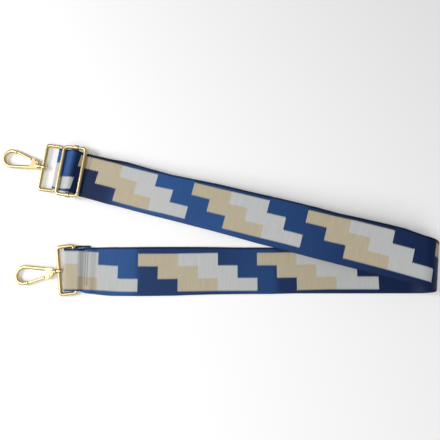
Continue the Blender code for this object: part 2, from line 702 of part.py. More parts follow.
def build_hook_body(end, metal, place):
    """Make the hook's casting: neck, yoke, and the bar round the eye."""
    half_width, half_depth = HOOK_BAR_WIDTH / 2, HOOK_DEPTH / 2
    points, faces = swept(
        hook_path(), half_width, half_depth, False, BAR_SIDES, HOOK_SQUARENESS_SHARE)
    body = make_piece(f"hook_body_{end}", points, faces, metal, place)
    points, faces = prism(yoke_outline(), -YOKE_DEPTH / 2, YOKE_DEPTH / 2)
    yoke = make_helper(f"hook_yoke_{end}", points, faces, place)
    edge = yoke.modifiers.new("cast edge", "BEVEL")
    edge.width = YOKE_EDGE
    edge.segments = 2
    edge.limit_method = "ANGLE"
    start = BOSS_LENGTH / 2 + SWIVEL_GAP
    points, faces = turned([(start, NECK_RADIUS), (NECK_END, NECK_RADIUS)])
    neck = make_helper(f"hook_neck_{end}", points, faces, place)
    points, faces = turned([(start - OVERRUN, POST_RADIUS + GAP), (POST_LENGTH + GAP, POST_RADIUS + GAP)])
    post_bore = make_helper(f"hook_post_bore_{end}", points, faces, place)
    slot_low, slot_high = (SLOT_BACK, SLOT_FLOOR), (YOKE_FRONT + OVERRUN, YOKE_HIGH_Y + OVERRUN)
    points, faces = block((*slot_low, -SLOT_WIDTH / 2), (*slot_high, SLOT_WIDTH / 2))
    slot = make_helper(f"hook_slot_{end}", points, faces, place)
    points, faces = turned([(-YOKE_DEPTH, PIN_RADIUS + GAP), (YOKE_DEPTH, PIN_RADIUS + GAP)], BAR_SIDES)
    pin_bore = make_helper(f"hook_pin_bore_{end}", points, faces, place)
    pin_bore.matrix_local = pin_matrix()
    points, faces = turned([(-YOKE_DEPTH, nose_cut()), (YOKE_DEPTH, nose_cut())], GATE_WAY_SIDES)
    passing = make_helper(f"hook_gate_way_{end}", points, faces, place)
    passing.matrix_local = pin_matrix()
    points, faces = block(
        (GATE_START, GATE_END[1] - HOOK_BAR_WIDTH, -YOKE_DEPTH),
        (GATE_END[0] + HOOK_BAR_WIDTH, GATE_END[1] + HOOK_BAR_WIDTH, YOKE_DEPTH))
    only_nose = make_helper(f"hook_nose_zone_{end}", points, faces, place)
    combine(passing, only_nose, "INTERSECT")
    combine(body, yoke, "UNION")
    combine(body, neck, "UNION")
    combine(body, post_bore, "DIFFERENCE")
    combine(body, slot, "DIFFERENCE")
    combine(body, pin_bore, "DIFFERENCE")
    combine(body, passing, "DIFFERENCE")


def pin_matrix():
    """Return the place of the gate's pin, whose own x axis runs through the hook's depth."""
    return Matrix.Translation((*PIN_PLACE, 0)) @ Matrix.Rotation(-math.pi / 2, 4, "Y")


def build_rivet(end, metal, place):
    """Make the swivel rivet: a domed head inside the ring and a post into the neck."""
    seat = -BOSS_LENGTH / 2 - SWIVEL_GAP
    crown = seat - RIVET_HEAD_HEIGHT
    profile = []
    for height, radius in RIVET_CROWN_SHARES:
        profile.append((crown + RIVET_HEAD_HEIGHT * height, RIVET_HEAD_RADIUS * radius))
    profile += [(seat, RIVET_HEAD_RADIUS), (seat, POST_RADIUS), (POST_LENGTH, POST_RADIUS)]
    points, faces = turned(profile)
    make_piece(f"swivel_rivet_{end}", points, faces, metal, place)


def build_pin(end, metal, place):
    """Make the gate's pin with a flat head on either cheek."""
    cheek = YOKE_DEPTH / 2 + GAP
    outer = cheek + PIN_HEAD_HEIGHT
    profile = [
        (-outer, PIN_HEAD_RADIUS), (-cheek, PIN_HEAD_RADIUS), (-cheek, PIN_RADIUS),
        (cheek, PIN_RADIUS), (cheek, PIN_HEAD_RADIUS), (outer, PIN_HEAD_RADIUS),
    ]
    points, faces = turned(profile, BAR_SIDES)
    pin = make_piece(f"gate_pin_{end}", points, faces, metal, place)
    pin.matrix_local = pin_matrix()


def build_gate(end, metal, gate):
    """Make the gate, in a frame on its pin with x along the closed gate."""
    length = math.hypot(GATE_END[0] - PIN_PLACE[0], GATE_END[1] - PIN_PLACE[1])
    start = (GATE_START - PIN_PLACE[0]) / math.cos(gate_angle())
    half = GATE_WIDTH / 2
    path = [(start, 0), ((start + length) / 2, 0), (length, 0)]
    points, faces = swept(path, half, GATE_DEPTH / 2, False, BAR_SIDES, GATE_SQUARENESS_SHARE)
    piece = make_piece(f"hook_gate_{end}", points, faces, metal, gate)
    outline = [(start + half, -half / 2), (start + half, half / 2)]
    outline += arc((0, 0), GATE_TAIL_RADIUS, math.pi / 2, 3 * math.pi / 2, WIDE_ARC_STEP)
    depth = SLOT_WIDTH / 2 - GAP
    points, faces = prism(outline, -depth, depth)
    tail = make_helper(f"gate_tail_{end}", points, faces, gate)
    points, faces = turned([(-GATE_DEPTH, PIN_RADIUS + GAP), (GATE_DEPTH, PIN_RADIUS + GAP)], BAR_SIDES)
    bore = make_helper(f"gate_bore_{end}", points, faces, gate)
    bore.matrix_local = Matrix.Rotation(-math.pi / 2, 4, "Y")
    combine(piece, tail, "UNION")
    combine(piece, bore, "DIFFERENCE")


def build_spring(end, metal, place):
    """Make the leaf spring: it lies on the slot's floor and bends up under the gate."""
    half = SPRING_THICKNESS / 2
    floor = SLOT_FLOOR + GAP + half
    under = gate_underside(YOKE_FRONT) - GAP - 2 * half
    corners = [(YOKE_FRONT - GAP, floor), (SLOT_BACK + GAP + half, floor), (YOKE_FRONT, under)]
    path = rounded(corners, [SPRING_BEND], WIDE_ARC_STEP)
    left, right = [], []
    for i, point in enumerate(path):
        before, after = Vector(path[max(i - 1, 0)]), Vector(path[min(i + 1, len(path) - 1)])
        along = (after - before).normalized()
        left.append((point[0] - along.y * half, point[1] + along.x * half))
        right.append((point[0] + along.y * half, point[1] - along.x * half))
    points, faces = prism(left + right[::-1], -SPRING_DEPTH / 2, SPRING_DEPTH / 2)
    make_piece(f"gate_spring_{end}", points, faces, metal, place, smooth=False)


def gate_underside(x):
    """Return the height of the gate's inner side at a place along the hook."""
    middle = PIN_PLACE[1] + (x - PIN_PLACE[0]) * math.tan(gate_angle())
    return middle - GATE_TAIL_RADIUS / math.cos(gate_angle())


def build_hook_end(end, gold, steel, ring_place, lean, swivel):
    """Make a ring and its snap hook; the hook leans in its bore and is turned about its post."""
    build_ring(end, gold, ring_place)
    leaning = Matrix.Translation((RING_SPACING, 0, 0)) @ Matrix.Rotation(-lean, 4, "Z")
    hook = make_place(f"hook_place_{end}", leaning @ Matrix.Rotation(swivel, 4, "X"), ring_place)
    build_hook_body(end, gold, hook)
    build_rivet(end, gold, hook)
    build_pin(end, gold, hook)
    build_spring(end, steel, hook)
    pin = Matrix.Translation((*PIN_PLACE, 0)) @ Matrix.Rotation(gate_angle(), 4, "Z")
    gate = make_place(f"gate_place_{end}", pin, hook)
    build_gate(end, gold, gate)


# The whole strap

def lower_ring_matrix():
    """Return the lower ring's frame: x points away from the strap, y along the inner bar."""
    x = LOWER_END_X + LOWER_RING_SET_IN
    place = Matrix.Translation((x, LOWER_RING_SIDE_STEP, LOOP_RADIUS + HALF_THICKNESS))
    turned_in_pocket = Matrix.Rotation(math.pi + LOWER_RING_SKEW, 4, "Z")
    return place @ turned_in_pocket @ Matrix.Rotation(HOOK_DROOP, 4, "Y")


def build_strap():
    """Make every piece of the strap."""
    clear_scene()
    cloth = make_material("woven webbing", (0.055, 0.115, 0.290), 0.85, 0.0)
    thread = make_material("sewing thread", (0.030, 0.055, 0.140), 0.75, 0.0)
    gold = make_material("pale gold plate", (0.800, 0.680, 0.400), 0.25, 1.0)
    steel = make_material("spring steel", (0.550, 0.560, 0.580), 0.35, 1.0)

    build_lower_leg(cloth, thread)
    build_fold(cloth)
    leg = make_place("upper_leg_place", leg_matrix())
    build_upper_leg(cloth, leg)

    at_slider = Matrix.Translation((-SLIDER_RUN, 0, -WEBBING_THICKNESS))
    slider = make_place("slider_place", at_slider @ Matrix.Rotation(ADJUSTER_SKEW, 4, "Z"), leg)
    bar = make_place("slider_bar_place", Matrix.Translation((BAR_OFFSET, 0, SLIDER_HEIGHT)), slider)
    at_loop = Matrix.Translation((-RING_RUN, loop_side_step(), -RING_DROP))
    loop = make_place("ring_loop_place", at_loop, slider)
    build_adjuster_webbing(cloth, thread, slider, bar, loop)
    build_slider(gold, slider, bar)

    level = math.asin(LEG_SLOPE) - HOOK_DROOP
    facing = Matrix.Rotation(math.pi, 4, "Z") @ Matrix.Rotation(-level, 4, "Y")
    upper_ring = make_place("ring_place_adjusting_end", facing, loop)
    build_hook_end("adjusting_end", gold, steel, upper_ring, UPPER_HOOK_LEAN, math.pi)
    lower_ring = make_place("ring_place_fixed_end", lower_ring_matrix())
    build_hook_end("fixed_end", gold, steel, lower_ring, LOWER_HOOK_LEAN, 0.0)


build_strap()
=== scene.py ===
"""Looks of a detachable bag strap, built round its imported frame.

The strap is one length of wide patterned webbing that lies folded in a narrow V, with a wire
slider and a ring and snap hook at either end. Every surface is worked out with numpy in the row
frame, in metres: +X from the hooks to the fold, +Y from the lower leg to the upper one, +Z up.
The sizes repeat those of the part, because nothing but the frame is read from disk.
"""

import logging
import math
from dataclasses import dataclass, field
from enum import Enum

import bpy
import numpy as np
from mathutils import Matrix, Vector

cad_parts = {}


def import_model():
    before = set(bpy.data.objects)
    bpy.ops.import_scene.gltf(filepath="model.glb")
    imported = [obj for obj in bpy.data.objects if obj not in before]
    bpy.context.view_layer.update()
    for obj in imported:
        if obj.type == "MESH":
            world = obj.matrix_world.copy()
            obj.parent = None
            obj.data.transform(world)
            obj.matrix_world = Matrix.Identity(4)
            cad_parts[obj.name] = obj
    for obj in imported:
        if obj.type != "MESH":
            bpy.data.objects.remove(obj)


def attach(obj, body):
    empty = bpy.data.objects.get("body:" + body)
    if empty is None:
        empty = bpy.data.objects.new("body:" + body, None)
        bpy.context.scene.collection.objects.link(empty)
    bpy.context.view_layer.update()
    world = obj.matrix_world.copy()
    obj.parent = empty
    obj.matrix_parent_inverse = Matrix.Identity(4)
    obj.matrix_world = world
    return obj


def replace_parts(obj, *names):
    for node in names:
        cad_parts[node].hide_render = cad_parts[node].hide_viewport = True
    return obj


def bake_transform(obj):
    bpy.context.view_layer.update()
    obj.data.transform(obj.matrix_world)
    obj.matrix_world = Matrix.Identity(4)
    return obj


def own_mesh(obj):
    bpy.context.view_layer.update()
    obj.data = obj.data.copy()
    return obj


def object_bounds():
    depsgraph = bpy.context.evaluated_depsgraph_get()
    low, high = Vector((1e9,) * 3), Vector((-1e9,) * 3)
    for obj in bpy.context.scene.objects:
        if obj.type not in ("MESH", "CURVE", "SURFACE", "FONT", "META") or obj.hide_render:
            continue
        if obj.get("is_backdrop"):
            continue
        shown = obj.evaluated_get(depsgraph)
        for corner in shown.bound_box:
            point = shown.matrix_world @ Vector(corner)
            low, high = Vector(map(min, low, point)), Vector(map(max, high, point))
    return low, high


Array = np.ndarray
log = logging.getLogger("strap")
STRAP_MAP = "StrapPlace"
EDGE_MAP = "StrapEdges"
Socket = bpy.types.NodeSocket
Colour = tuple[float, float, float, float]
BLACK: Colour = (0.0, 0.0, 0.0, 1.0)
WHITE: Colour = (1.0, 1.0, 1.0, 1.0)

ARC_STEP = math.radians(5)          # most that a line turns from one point to the next
EASE_POINTS = 16                    # points of an eased line
SHARP_ANGLE = math.radians(42)      # edges sharper than this aren't shaded smooth
FILLET_SHARE = 0.5                  # how far a casting's points move to their neighbours' middle
FILLET_PASSES = 5                   # how often they do
WIRE_CORNERS = 24                   # of the section of a wire, and sides of a pin
BAR_CORNERS = 28                    # of the section of a hook's bar, and sides of the slider's rod
LEAF_CORNERS = 16                   # of the section of a spring
CURL_CORNERS = 20                   # of the section of a curl
WIRE_STEP = 0.004                   # most between two points of a straight wire, in metres
SAME = 1e-6                         # distance at which two places are one, in metres


class Axis(Enum):
    """Axis of a turn."""

    X = 0
    Y = 1
    Z = 2


class Held(Enum):
    """How a stretch of webbing lies."""

    LAID = "laid"
    FOLDED = "folded"


class End(Enum):
    """The two hook ends of the strap."""

    ADJUSTING = "adjusting_end"
    FIXED = "fixed_end"


# Frames: four-by-four matrices


def shift(x: float, y: float, z: float) -> Array:
    """Matrix that moves by x, y and z."""
    matrix = np.eye(4)
    matrix[:3, 3] = (x, y, z)
    return matrix


def turn(axis: Axis, angle: float) -> Array:
    """Matrix that turns about an axis by the right-hand rule.

    Args:
        axis: the axis that stays in place.
        angle: in radians.

    Returns:
        The matrix: cosine on both turned axes, sine and minus sine between them.
    """
    matrix = np.eye(4)
    a, b = (axis.value + 1) % 3, (axis.value + 2) % 3
    matrix[a, a] = matrix[b, b] = math.cos(angle)
    matrix[a, b], matrix[b, a] = -math.sin(angle), math.sin(angle)
    return matrix


def moved(matrix: Array, points: Array) -> Array:
    """Points put into the frame of a matrix: turned, then shifted."""
    return points @ matrix[:3, :3].T + matrix[:3, 3]


def aimed(matrix: Array, directions: Array) -> Array:
    """Directions turned into the frame of a matrix."""
    return directions @ matrix[:3, :3].T


def unit(vectors: Array) -> Array:
    """Vectors divided by their lengths."""
    return vectors / np.linalg.norm(vectors, axis=-1, keepdims=True)


# Paths in a plane


def arc(centre: tuple[float, float], radius: float, start: float, end: float) -> Array:
    """Points along an arc: the centre plus the radius times cosine and sine of the angle.

    Args:
        centre: of the circle.
        radius: of the circle.
        start: angle of the first point from the first axis, in radians.
        end: angle of the last point.

    Returns:
        Array of points, one every few degrees, both ends included.
    """
    count = max(3, math.ceil(abs(end - start) / ARC_STEP))
    angles = np.linspace(start, end, count + 1)
    return np.column_stack([centre[0] + radius * np.cos(angles), centre[1] + radius * np.sin(angles)])


def eased(start: tuple[float, float], end: tuple[float, float]) -> Array:
    """Points between two places that leave and arrive level.

    Args:
        start: the place before the first point.
        end: the last point.

    Returns:
        Array of points: the share of the rise is (1 - cosine of the share of the way) / 2.
    """
    share = np.linspace(0, 1, EASE_POINTS + 1)[1:]
    rise = (1 - np.cos(math.pi * share)) / 2
    first, last = np.array(start), np.array(end)
    return np.column_stack([first[0] + (last[0] - first[0]) * share, first[1] + (last[1] - first[1]) * rise])


def rounded(corners: list[tuple[float, float]], radii: list[float]) -> Array:
    """An open line through corners, each inner one replaced by an arc that touches both sides.

    Args:
        corners: the places in order.
        radii: one radius for each inner corner.

    Returns:
        Array of points. An arc's centre lies on the corner's bisector at radius / sin(half angle).
    """
    parts = [np.array([corners[0]])]
    for before, corner, after, radius in zip(corners, corners[1:], corners[2:], radii):
        here = np.array(corner)
        back, ahead = unit(np.array(before) - here), unit(np.array(after) - here)
        half = math.acos(float(back @ ahead)) / 2
        centre = here + unit(back + ahead) * radius / math.sin(half)
        first = here + back * radius / math.tan(half) - centre
        sweep = math.pi - 2 * half
        if back[0] * ahead[1] - back[1] * ahead[0] > 0:
            sweep = -sweep
        start = math.atan2(first[1], first[0])
        parts.append(arc(tuple(centre), radius, start, start + sweep))
    parts.append(np.array([corners[-1]]))
    return np.vstack(parts)


def spread(line: Array, spacing: float) -> tuple[Array, Array]:
    """A line with its points spread evenly by length.

    Args:
        line: array whose first two columns are the place, and the others go with it.
        spacing: wanted distance between points.

    Returns:
        The new line with all its columns, and the length walked at each point.
    """
    steps = np.linalg.norm(np.diff(line[:, :2], axis=0), axis=1)
    walked = np.concatenate([[0], np.cumsum(steps)])
    count = max(4, round(walked[-1] / spacing))
    even = np.linspace(0, walked[-1], count + 1)
    return np.column_stack([np.interp(even, walked, column) for column in line.T]), even


def tangents(line: Array) -> Array:
    """Unit directions along a line: central differences, averaged with their neighbours."""
    raw = unit(np.gradient(line, axis=0))
    padded = np.vstack([raw[:1], raw, raw[-1:]])
    return unit(padded[:-2] + 2 * padded[1:-1] + padded[2:])


# Surfaces


@dataclass
class Shell:
    """One closed surface: its points, its four-cornered faces and its flat end faces."""

    points: Array
    quads: Array
    ends: list[Array] = field(default_factory=list)

    def volume(self) -> float:
        """How much it holds.

        Returns:
            The volume, a sixth of the summed triple products of every face's triangles. It is
            negative where the faces are turned inwards.
        """
        corners = self.points[self.quads]
        both = np.concatenate([corners[:, [0, 1, 2]], corners[:, [0, 2, 3]]])
        for loop in self.ends:
            fan = np.column_stack([np.full(len(loop) - 2, loop[0]), loop[1:-1], loop[2:]])
            both = np.concatenate([both, self.points[fan]])
        return float(np.einsum("ij,ij->", both[:, 0], np.cross(both[:, 1], both[:, 2]))) / 6

    def outward(self) -> "Shell":
        """The shell with its faces turned outwards."""
        if self.volume() >= 0:
            return self
        return Shell(self.points, self.quads[:, ::-1], [loop[::-1] for loop in self.ends])

    def placed(self, matrix: Array) -> "Shell":
        """The shell put into the frame of a matrix."""
        return Shell(moved(matrix, self.points), self.quads, self.ends)


def lattice(rows: int, columns: int, wrap_rows: bool, wrap_columns: bool) -> Array:
    """Faces that join a grid of points, counted row by row.

    Args:
        rows: how many rows of points.
        columns: how many points in a row.
        wrap_rows: whether the last row joins the first.
        wrap_columns: whether a row's last point joins its first.

    Returns:
        Array of four point numbers for each face.
    """
    row = np.arange(rows if wrap_rows else rows - 1)[:, None]
    column = np.arange(columns if wrap_columns else columns - 1)[None, :]
    here, there = row * columns, (row + 1) % rows * columns
    after = (column + 1) % columns
    return np.stack([here + column, here + after, there + after, there + column], -1).reshape(-1, 4)


def rim_of(rows: int, columns: int) -> Array:
    """The border of a grid of points.

    Args:
        rows: how many rows of points.
        columns: how many points in a row.

    Returns:
        Array of the border's point numbers in order, where they are counted row by row.
    """
    return np.concatenate([
        np.arange(rows) * columns + columns - 1,
        (np.arange(columns) + (rows - 1) * columns)[::-1][1:],
        (np.arange(rows)[::-1] * columns)[1:],
        np.arange(columns)[1:-1],
    ])


def carried(path: Array, side: Array, up: Array, section: Array, closed: bool) -> Shell:
    """A section carried along a path: path + side * first + up * second.

    Args:
        path: points of the path.
        side: first direction of the section at each point.
        up: second direction of the section at each point.
        section: outline as (corners, 2), or (points, corners, 2) where it changes.
        closed: whether the path's end joins its start.

    Returns:
        The closed shell.
    """
    shape = np.broadcast_to(section, (len(path),) + section.shape[-2:])
    points = path[:, None] + side[:, None] * shape[..., :1] + up[:, None] * shape[..., 1:]
    rows, columns = points.shape[:2]
    ends = []
    if not closed:
        ends = [np.arange(columns)[::-1], np.arange(columns) + (rows - 1) * columns]
    return Shell(points.reshape(-1, 3), lattice(rows, columns, closed, True), ends).outward()


def superellipse(half_width: float, half_depth: float, power: float, corners: int) -> Array:
    """Outline of a rounded section.

    Args:
        half_width: half its size along the first axis.
        half_depth: half its size along the second axis.
        power: 1 for an ellipse, less for a box.
        corners: number of points.

    Returns:
        Array of points: half sizes times cosine and sine of the angle, each to the power.
    """
    angles = 2 * math.pi * (np.arange(corners) + 0.5) / corners
    cosine, sine = np.cos(angles), np.sin(angles)
    first = half_width * np.sign(cosine) * np.abs(cosine) ** power
    return np.column_stack([first, half_depth * np.sign(sine) * np.abs(sine) ** power])


def flat_bar(line: Array, section: Array, closed: bool = False) -> Shell:
    """A section carried along a line in the x-y plane.

    Args:
        line: points of the line.
        section: outline whose first axis lies in that plane.
        closed: whether the line's end joins its start.

    Returns:
        The closed shell.
    """
    ahead = np.roll(line, -1, axis=0) - np.roll(line, 1, axis=0)
    along = unit(ahead) if closed else tangents(line)
    path = np.column_stack([line, np.zeros(len(line))])
    side = np.column_stack([-along[:, 1], along[:, 0], np.zeros(len(line))])
    up = np.broadcast_to([0.0, 0.0, 1.0], path.shape)
    return carried(path, side, up, section, closed)


def turned(profile: Array, sides: int = 32) -> Shell:
    """A profile turned round the x axis.

    Args:
        profile: rows of (x, radius).
        sides: number of points round the axis.

    Returns:
        The shell, closed flat at both ends.
    """
    angles = 2 * math.pi * np.arange(sides) / sides
    circle = np.column_stack([np.cos(angles), np.sin(angles)])
    path = np.column_stack([profile[:, 0], np.zeros((len(profile), 2))])
    side = np.broadcast_to([0.0, 1.0, 0.0], path.shape)
    up = np.broadcast_to([0.0, 0.0, 1.0], path.shape)
    return carried(path, side, up, profile[:, 1][:, None, None] * circle, False)


def barrel(
    outer: float, inner: float, length: float, edge: float, sides: int = 40, corners: int = 28,
) -> Shell:
    """A bored barrel on the x axis: a rounded rectangle turned all the way round.

    Args:
        outer: radius outside.
        inner: radius of the bore.
        length: along the axis.
        edge: power of the rectangle's outline, the lower the sharper.
        sides: number of points round the axis.
        corners: number of points round the rectangle.

    Returns:
        The closed shell.
    """
    middle, half = (outer + inner) / 2, (outer - inner) / 2
    outline = superellipse(length / 2, half, edge, corners)
    angles = 2 * math.pi * np.arange(sides) / sides
    path = np.column_stack([np.zeros(sides), middle * np.cos(angles), middle * np.sin(angles)])
    out = unit(path)
    side = np.broadcast_to([1.0, 0.0, 0.0], path.shape)
    return carried(path, side, out, outline, True)


def softened(profile: list[tuple[float, float]], bevel: float) -> Array:
    """A profile whose inner corners are rounded by a small radius."""
    return rounded(profile, [bevel] * (len(profile) - 2))


def slab(outline: Array, low: float, high: float) -> Shell:
    """A flat outline made solid.

    Args:
        outline: points in x and y, in order.
        low: height of its underside.
        high: height of its top.

    Returns:
        The closed shell.
    """
    count = len(outline)
    levels = [np.column_stack([outline, np.full(count, height)]) for height in (low, high)]
    ends = [np.arange(count)[::-1], np.arange(count) + count]
    return Shell(np.vstack(levels), lattice(2, count, False, True), ends).outward()


# Objects


def make_object(name: str, shells: list[Shell], material: bpy.types.Material) -> bpy.types.Object:
    """One object from closed shells, smooth but for its sharp edges.

    Args:
        name: of the piece.
        shells: surfaces in the row frame.
        material: its finish.

    Returns:
        The object, which stands at the origin.
    """
    mesh = bpy.data.meshes.new(name)
    offset, faces = 0, []
    for shell in shells:
        faces += (shell.quads + offset).tolist() + [(loop + offset).tolist() for loop in shell.ends]
        offset += len(shell.points)
    mesh.from_pydata(np.vstack([shell.points for shell in shells]), [], faces)
    mesh.shade_smooth()
    mesh.set_sharp_from_angle(angle=SHARP_ANGLE)
    mesh.materials.append(material)
    made = bpy.data.objects.new(name, mesh)
    bpy.context.collection.objects.link(made)
    return made


def cast(name: str, shells: list[Shell], material: bpy.types.Material, voxel: float) -> bpy.types.Object:
    """One casting from shells that run into each other, with a small fillet where they meet.

    Args:
        name: of the piece.
        shells: closed surfaces that overlap.
        material: its finish.
        voxel: size of the grid that joins them.

    Returns:
        The object with the joined and smoothed mesh.
    """
    rough = make_object(name, shells, material)
    join = rough.modifiers.new("join", "REMESH")
    join.mode = "VOXEL"
    join.voxel_size = voxel
    join.use_smooth_shade = True
    fillet = rough.modifiers.new("fillet", "SMOOTH")
    fillet.factor = FILLET_SHARE
    fillet.iterations = FILLET_PASSES
    graph = bpy.context.evaluated_depsgraph_get()
    joined = bpy.data.meshes.new_from_object(rough.evaluated_get(graph))
    rough.modifiers.clear()
    old = rough.data
    rough.data = joined
    bpy.data.meshes.remove(old)
    joined.name = name
    joined.shade_smooth()
    if not joined.materials:
        joined.materials.append(material)
    return rough


# Finishes


@dataclass
class Tree:
    """A node tree that is filled by short calls."""

    tree: bpy.types.NodeTree

    def add(self, kind: str, **settings: object) -> bpy.types.Node:
        """Add a node and set its properties.

        Args:
            kind: the node's type.
            settings: its properties by name.

        Returns:
            The node.
        """
        node = self.tree.nodes.new(kind)
        for name, value in settings.items():
            setattr(node, name, value)
        return node

    def feed(self, socket: Socket, value: object) -> None:
        """Link a socket to another one, or set its number or colour.

        Args:
            socket: an input.
            value: an output, or the value itself.
        """
        if isinstance(value, Socket):
            self.tree.links.new(value, socket)
        else:
            socket.default_value = value

    def math(self, operation: str, *values: object) -> Socket:
        """Work out a number.

        Args:
            operation: of the math node.
            values: sockets or numbers that it works on.

        Returns:
            The result.
        """
        node = self.add("ShaderNodeMath", operation=operation)
        for socket, value in zip(node.inputs, values):
            self.feed(socket, value)
        return node.outputs[0]

    def mix(self, share: object, first: object, second: object, blend: str = "MIX") -> Socket:
        """Mix two colours.

        Args:
            share: of the second one, from 0 to 1.
            first: socket or colour.
            second: socket or colour.
            blend: way of mixing.

        Returns:
            The colour.
        """
        node = self.add("ShaderNodeMix", data_type="RGBA", blend_type=blend)
        # On a mix of colours, inputs 6 and 7 are the two colours and output 2 is the result.
        self.feed(node.inputs[0], share)
        self.feed(node.inputs[6], first)
        self.feed(node.inputs[7], second)
        return node.outputs[2]

    def noise(self, place: object, scale: float, detail: float = 2.0) -> Socket:
        """Work out a soft noise.

        Args:
            place: where.
            scale: how often it changes in a metre.
            detail: number of its finer layers.

        Returns:
            Its value, about 0.5 on average.
        """
        node = self.add("ShaderNodeTexNoise")
        self.feed(node.inputs["Vector"], place)
        node.inputs["Scale"].default_value = scale
        node.inputs["Detail"].default_value = detail
        return node.outputs[0]

    def wave(self, value: object, pitch: float) -> Socket:
        """A value from 0 to 1 that repeats at a pitch: half of 1 + cosine."""
        turns = self.math("MULTIPLY", value, 2 * math.pi / pitch)
        return self.math("MULTIPLY_ADD", self.math("COSINE", turns), 0.5, 0.5)

    def group(self, shared: bpy.types.NodeTree, **values: object) -> bpy.types.Node:
        """Place a shared group and give it its values.

        Args:
            shared: the group.
            values: sockets or values for its inputs, by name.

        Returns:
            The node.
        """
        node = self.add("ShaderNodeGroup", node_tree=shared)
        for name, value in values.items():
            self.feed(node.inputs[name], value)
        return node

    def parts(self, place: object) -> tuple[Socket, Socket, Socket]:
        """The x, y and z of a vector."""
        split = self.add("ShaderNodeSeparateXYZ")
        self.feed(split.inputs[0], place)
        return split.outputs[0], split.outputs[1], split.outputs[2]

    def pair(self, first: object, second: object) -> Socket:
        """Join two numbers.

        Args:
            first: socket or number.
            second: socket or number.

        Returns:
            A vector with the two as its x and y.
        """
        joined = self.add("ShaderNodeCombineXYZ")
        self.feed(joined.inputs[0], first)
        self.feed(joined.inputs[1], second)
        return joined.outputs[0]

    def uv(self, name: str) -> tuple[Socket, Socket]:
        """The two numbers of a map on the mesh."""
        return self.parts(self.add("ShaderNodeUVMap", uv_map=name).outputs[0])[:2]

    def mapped(self, place: object, scale: tuple, rotation: tuple = (0.0, 0.0, 0.0)) -> Socket:
        """Turn and stretch a place.

        Args:
            place: the vector.
            scale: factor on each axis.
            rotation: turn about each axis, in radians.

        Returns:
            The new vector.
        """
        node = self.add("ShaderNodeMapping")
        self.feed(node.inputs["Vector"], place)
        node.inputs["Rotation"].default_value = rotation
        node.inputs["Scale"].default_value = scale
        return node.outputs[0]

    def grey(self, shade: Socket) -> Socket:
        """Make a grey.

        Args:
            shade: its value.

        Returns:
            The colour.
        """
        node = self.add("ShaderNodeCombineColor")
        for socket in node.inputs:
            self.feed(socket, shade)
        return node.outputs[0]

    def bump(self, shader: bpy.types.Node, height: Socket, strength: float, distance: float) -> None:
        """Give a shader a relief.

        Args:
            shader: the shader.
            height: from 0 to 1.
            strength: how much of the relief shows.
            distance: what a height of 1 stands for, in metres.
        """
        node = self.add("ShaderNodeBump")
        node.inputs["Strength"].default_value = strength
        node.inputs["Distance"].default_value = distance
        self.feed(node.inputs["Height"], height)
        self.feed(shader.inputs["Normal"], node.outputs[0])


def new_group(name: str, inputs: dict[str, str], outputs: dict[str, str]) -> tuple[Tree, dict, dict]:
    """A shader group with named sockets.

    Args:
        name: of the group.
        inputs: socket names and their types.
        outputs: socket names and their types.

    Returns:
        The tree, its input sockets by name and its output sockets by name.
    """
    shared = bpy.data.node_groups.new(name, "ShaderNodeTree")
    for sockets, way in ((inputs, "INPUT"), (outputs, "OUTPUT")):
        for label, kind in sockets.items():
            shared.interface.new_socket(label, in_out=way, socket_type=f"NodeSocket{kind}")
    tree = Tree(shared)
    entry, leave = tree.add("NodeGroupInput"), tree.add("NodeGroupOutput")
    return tree, {s.name: s for s in entry.outputs}, {s.name: s for s in leave.inputs}


def new_material(name: str) -> tuple[bpy.types.Material, Tree, bpy.types.Node]:
    """A material with its own Principled shader.

    Args:
        name: of the material.

    Returns:
        The material, its tree and the shader.
    """
    made = bpy.data.materials.new(name)
    made.use_nodes = True
    return made, Tree(made.node_tree), made.node_tree.nodes["Principled BSDF"]


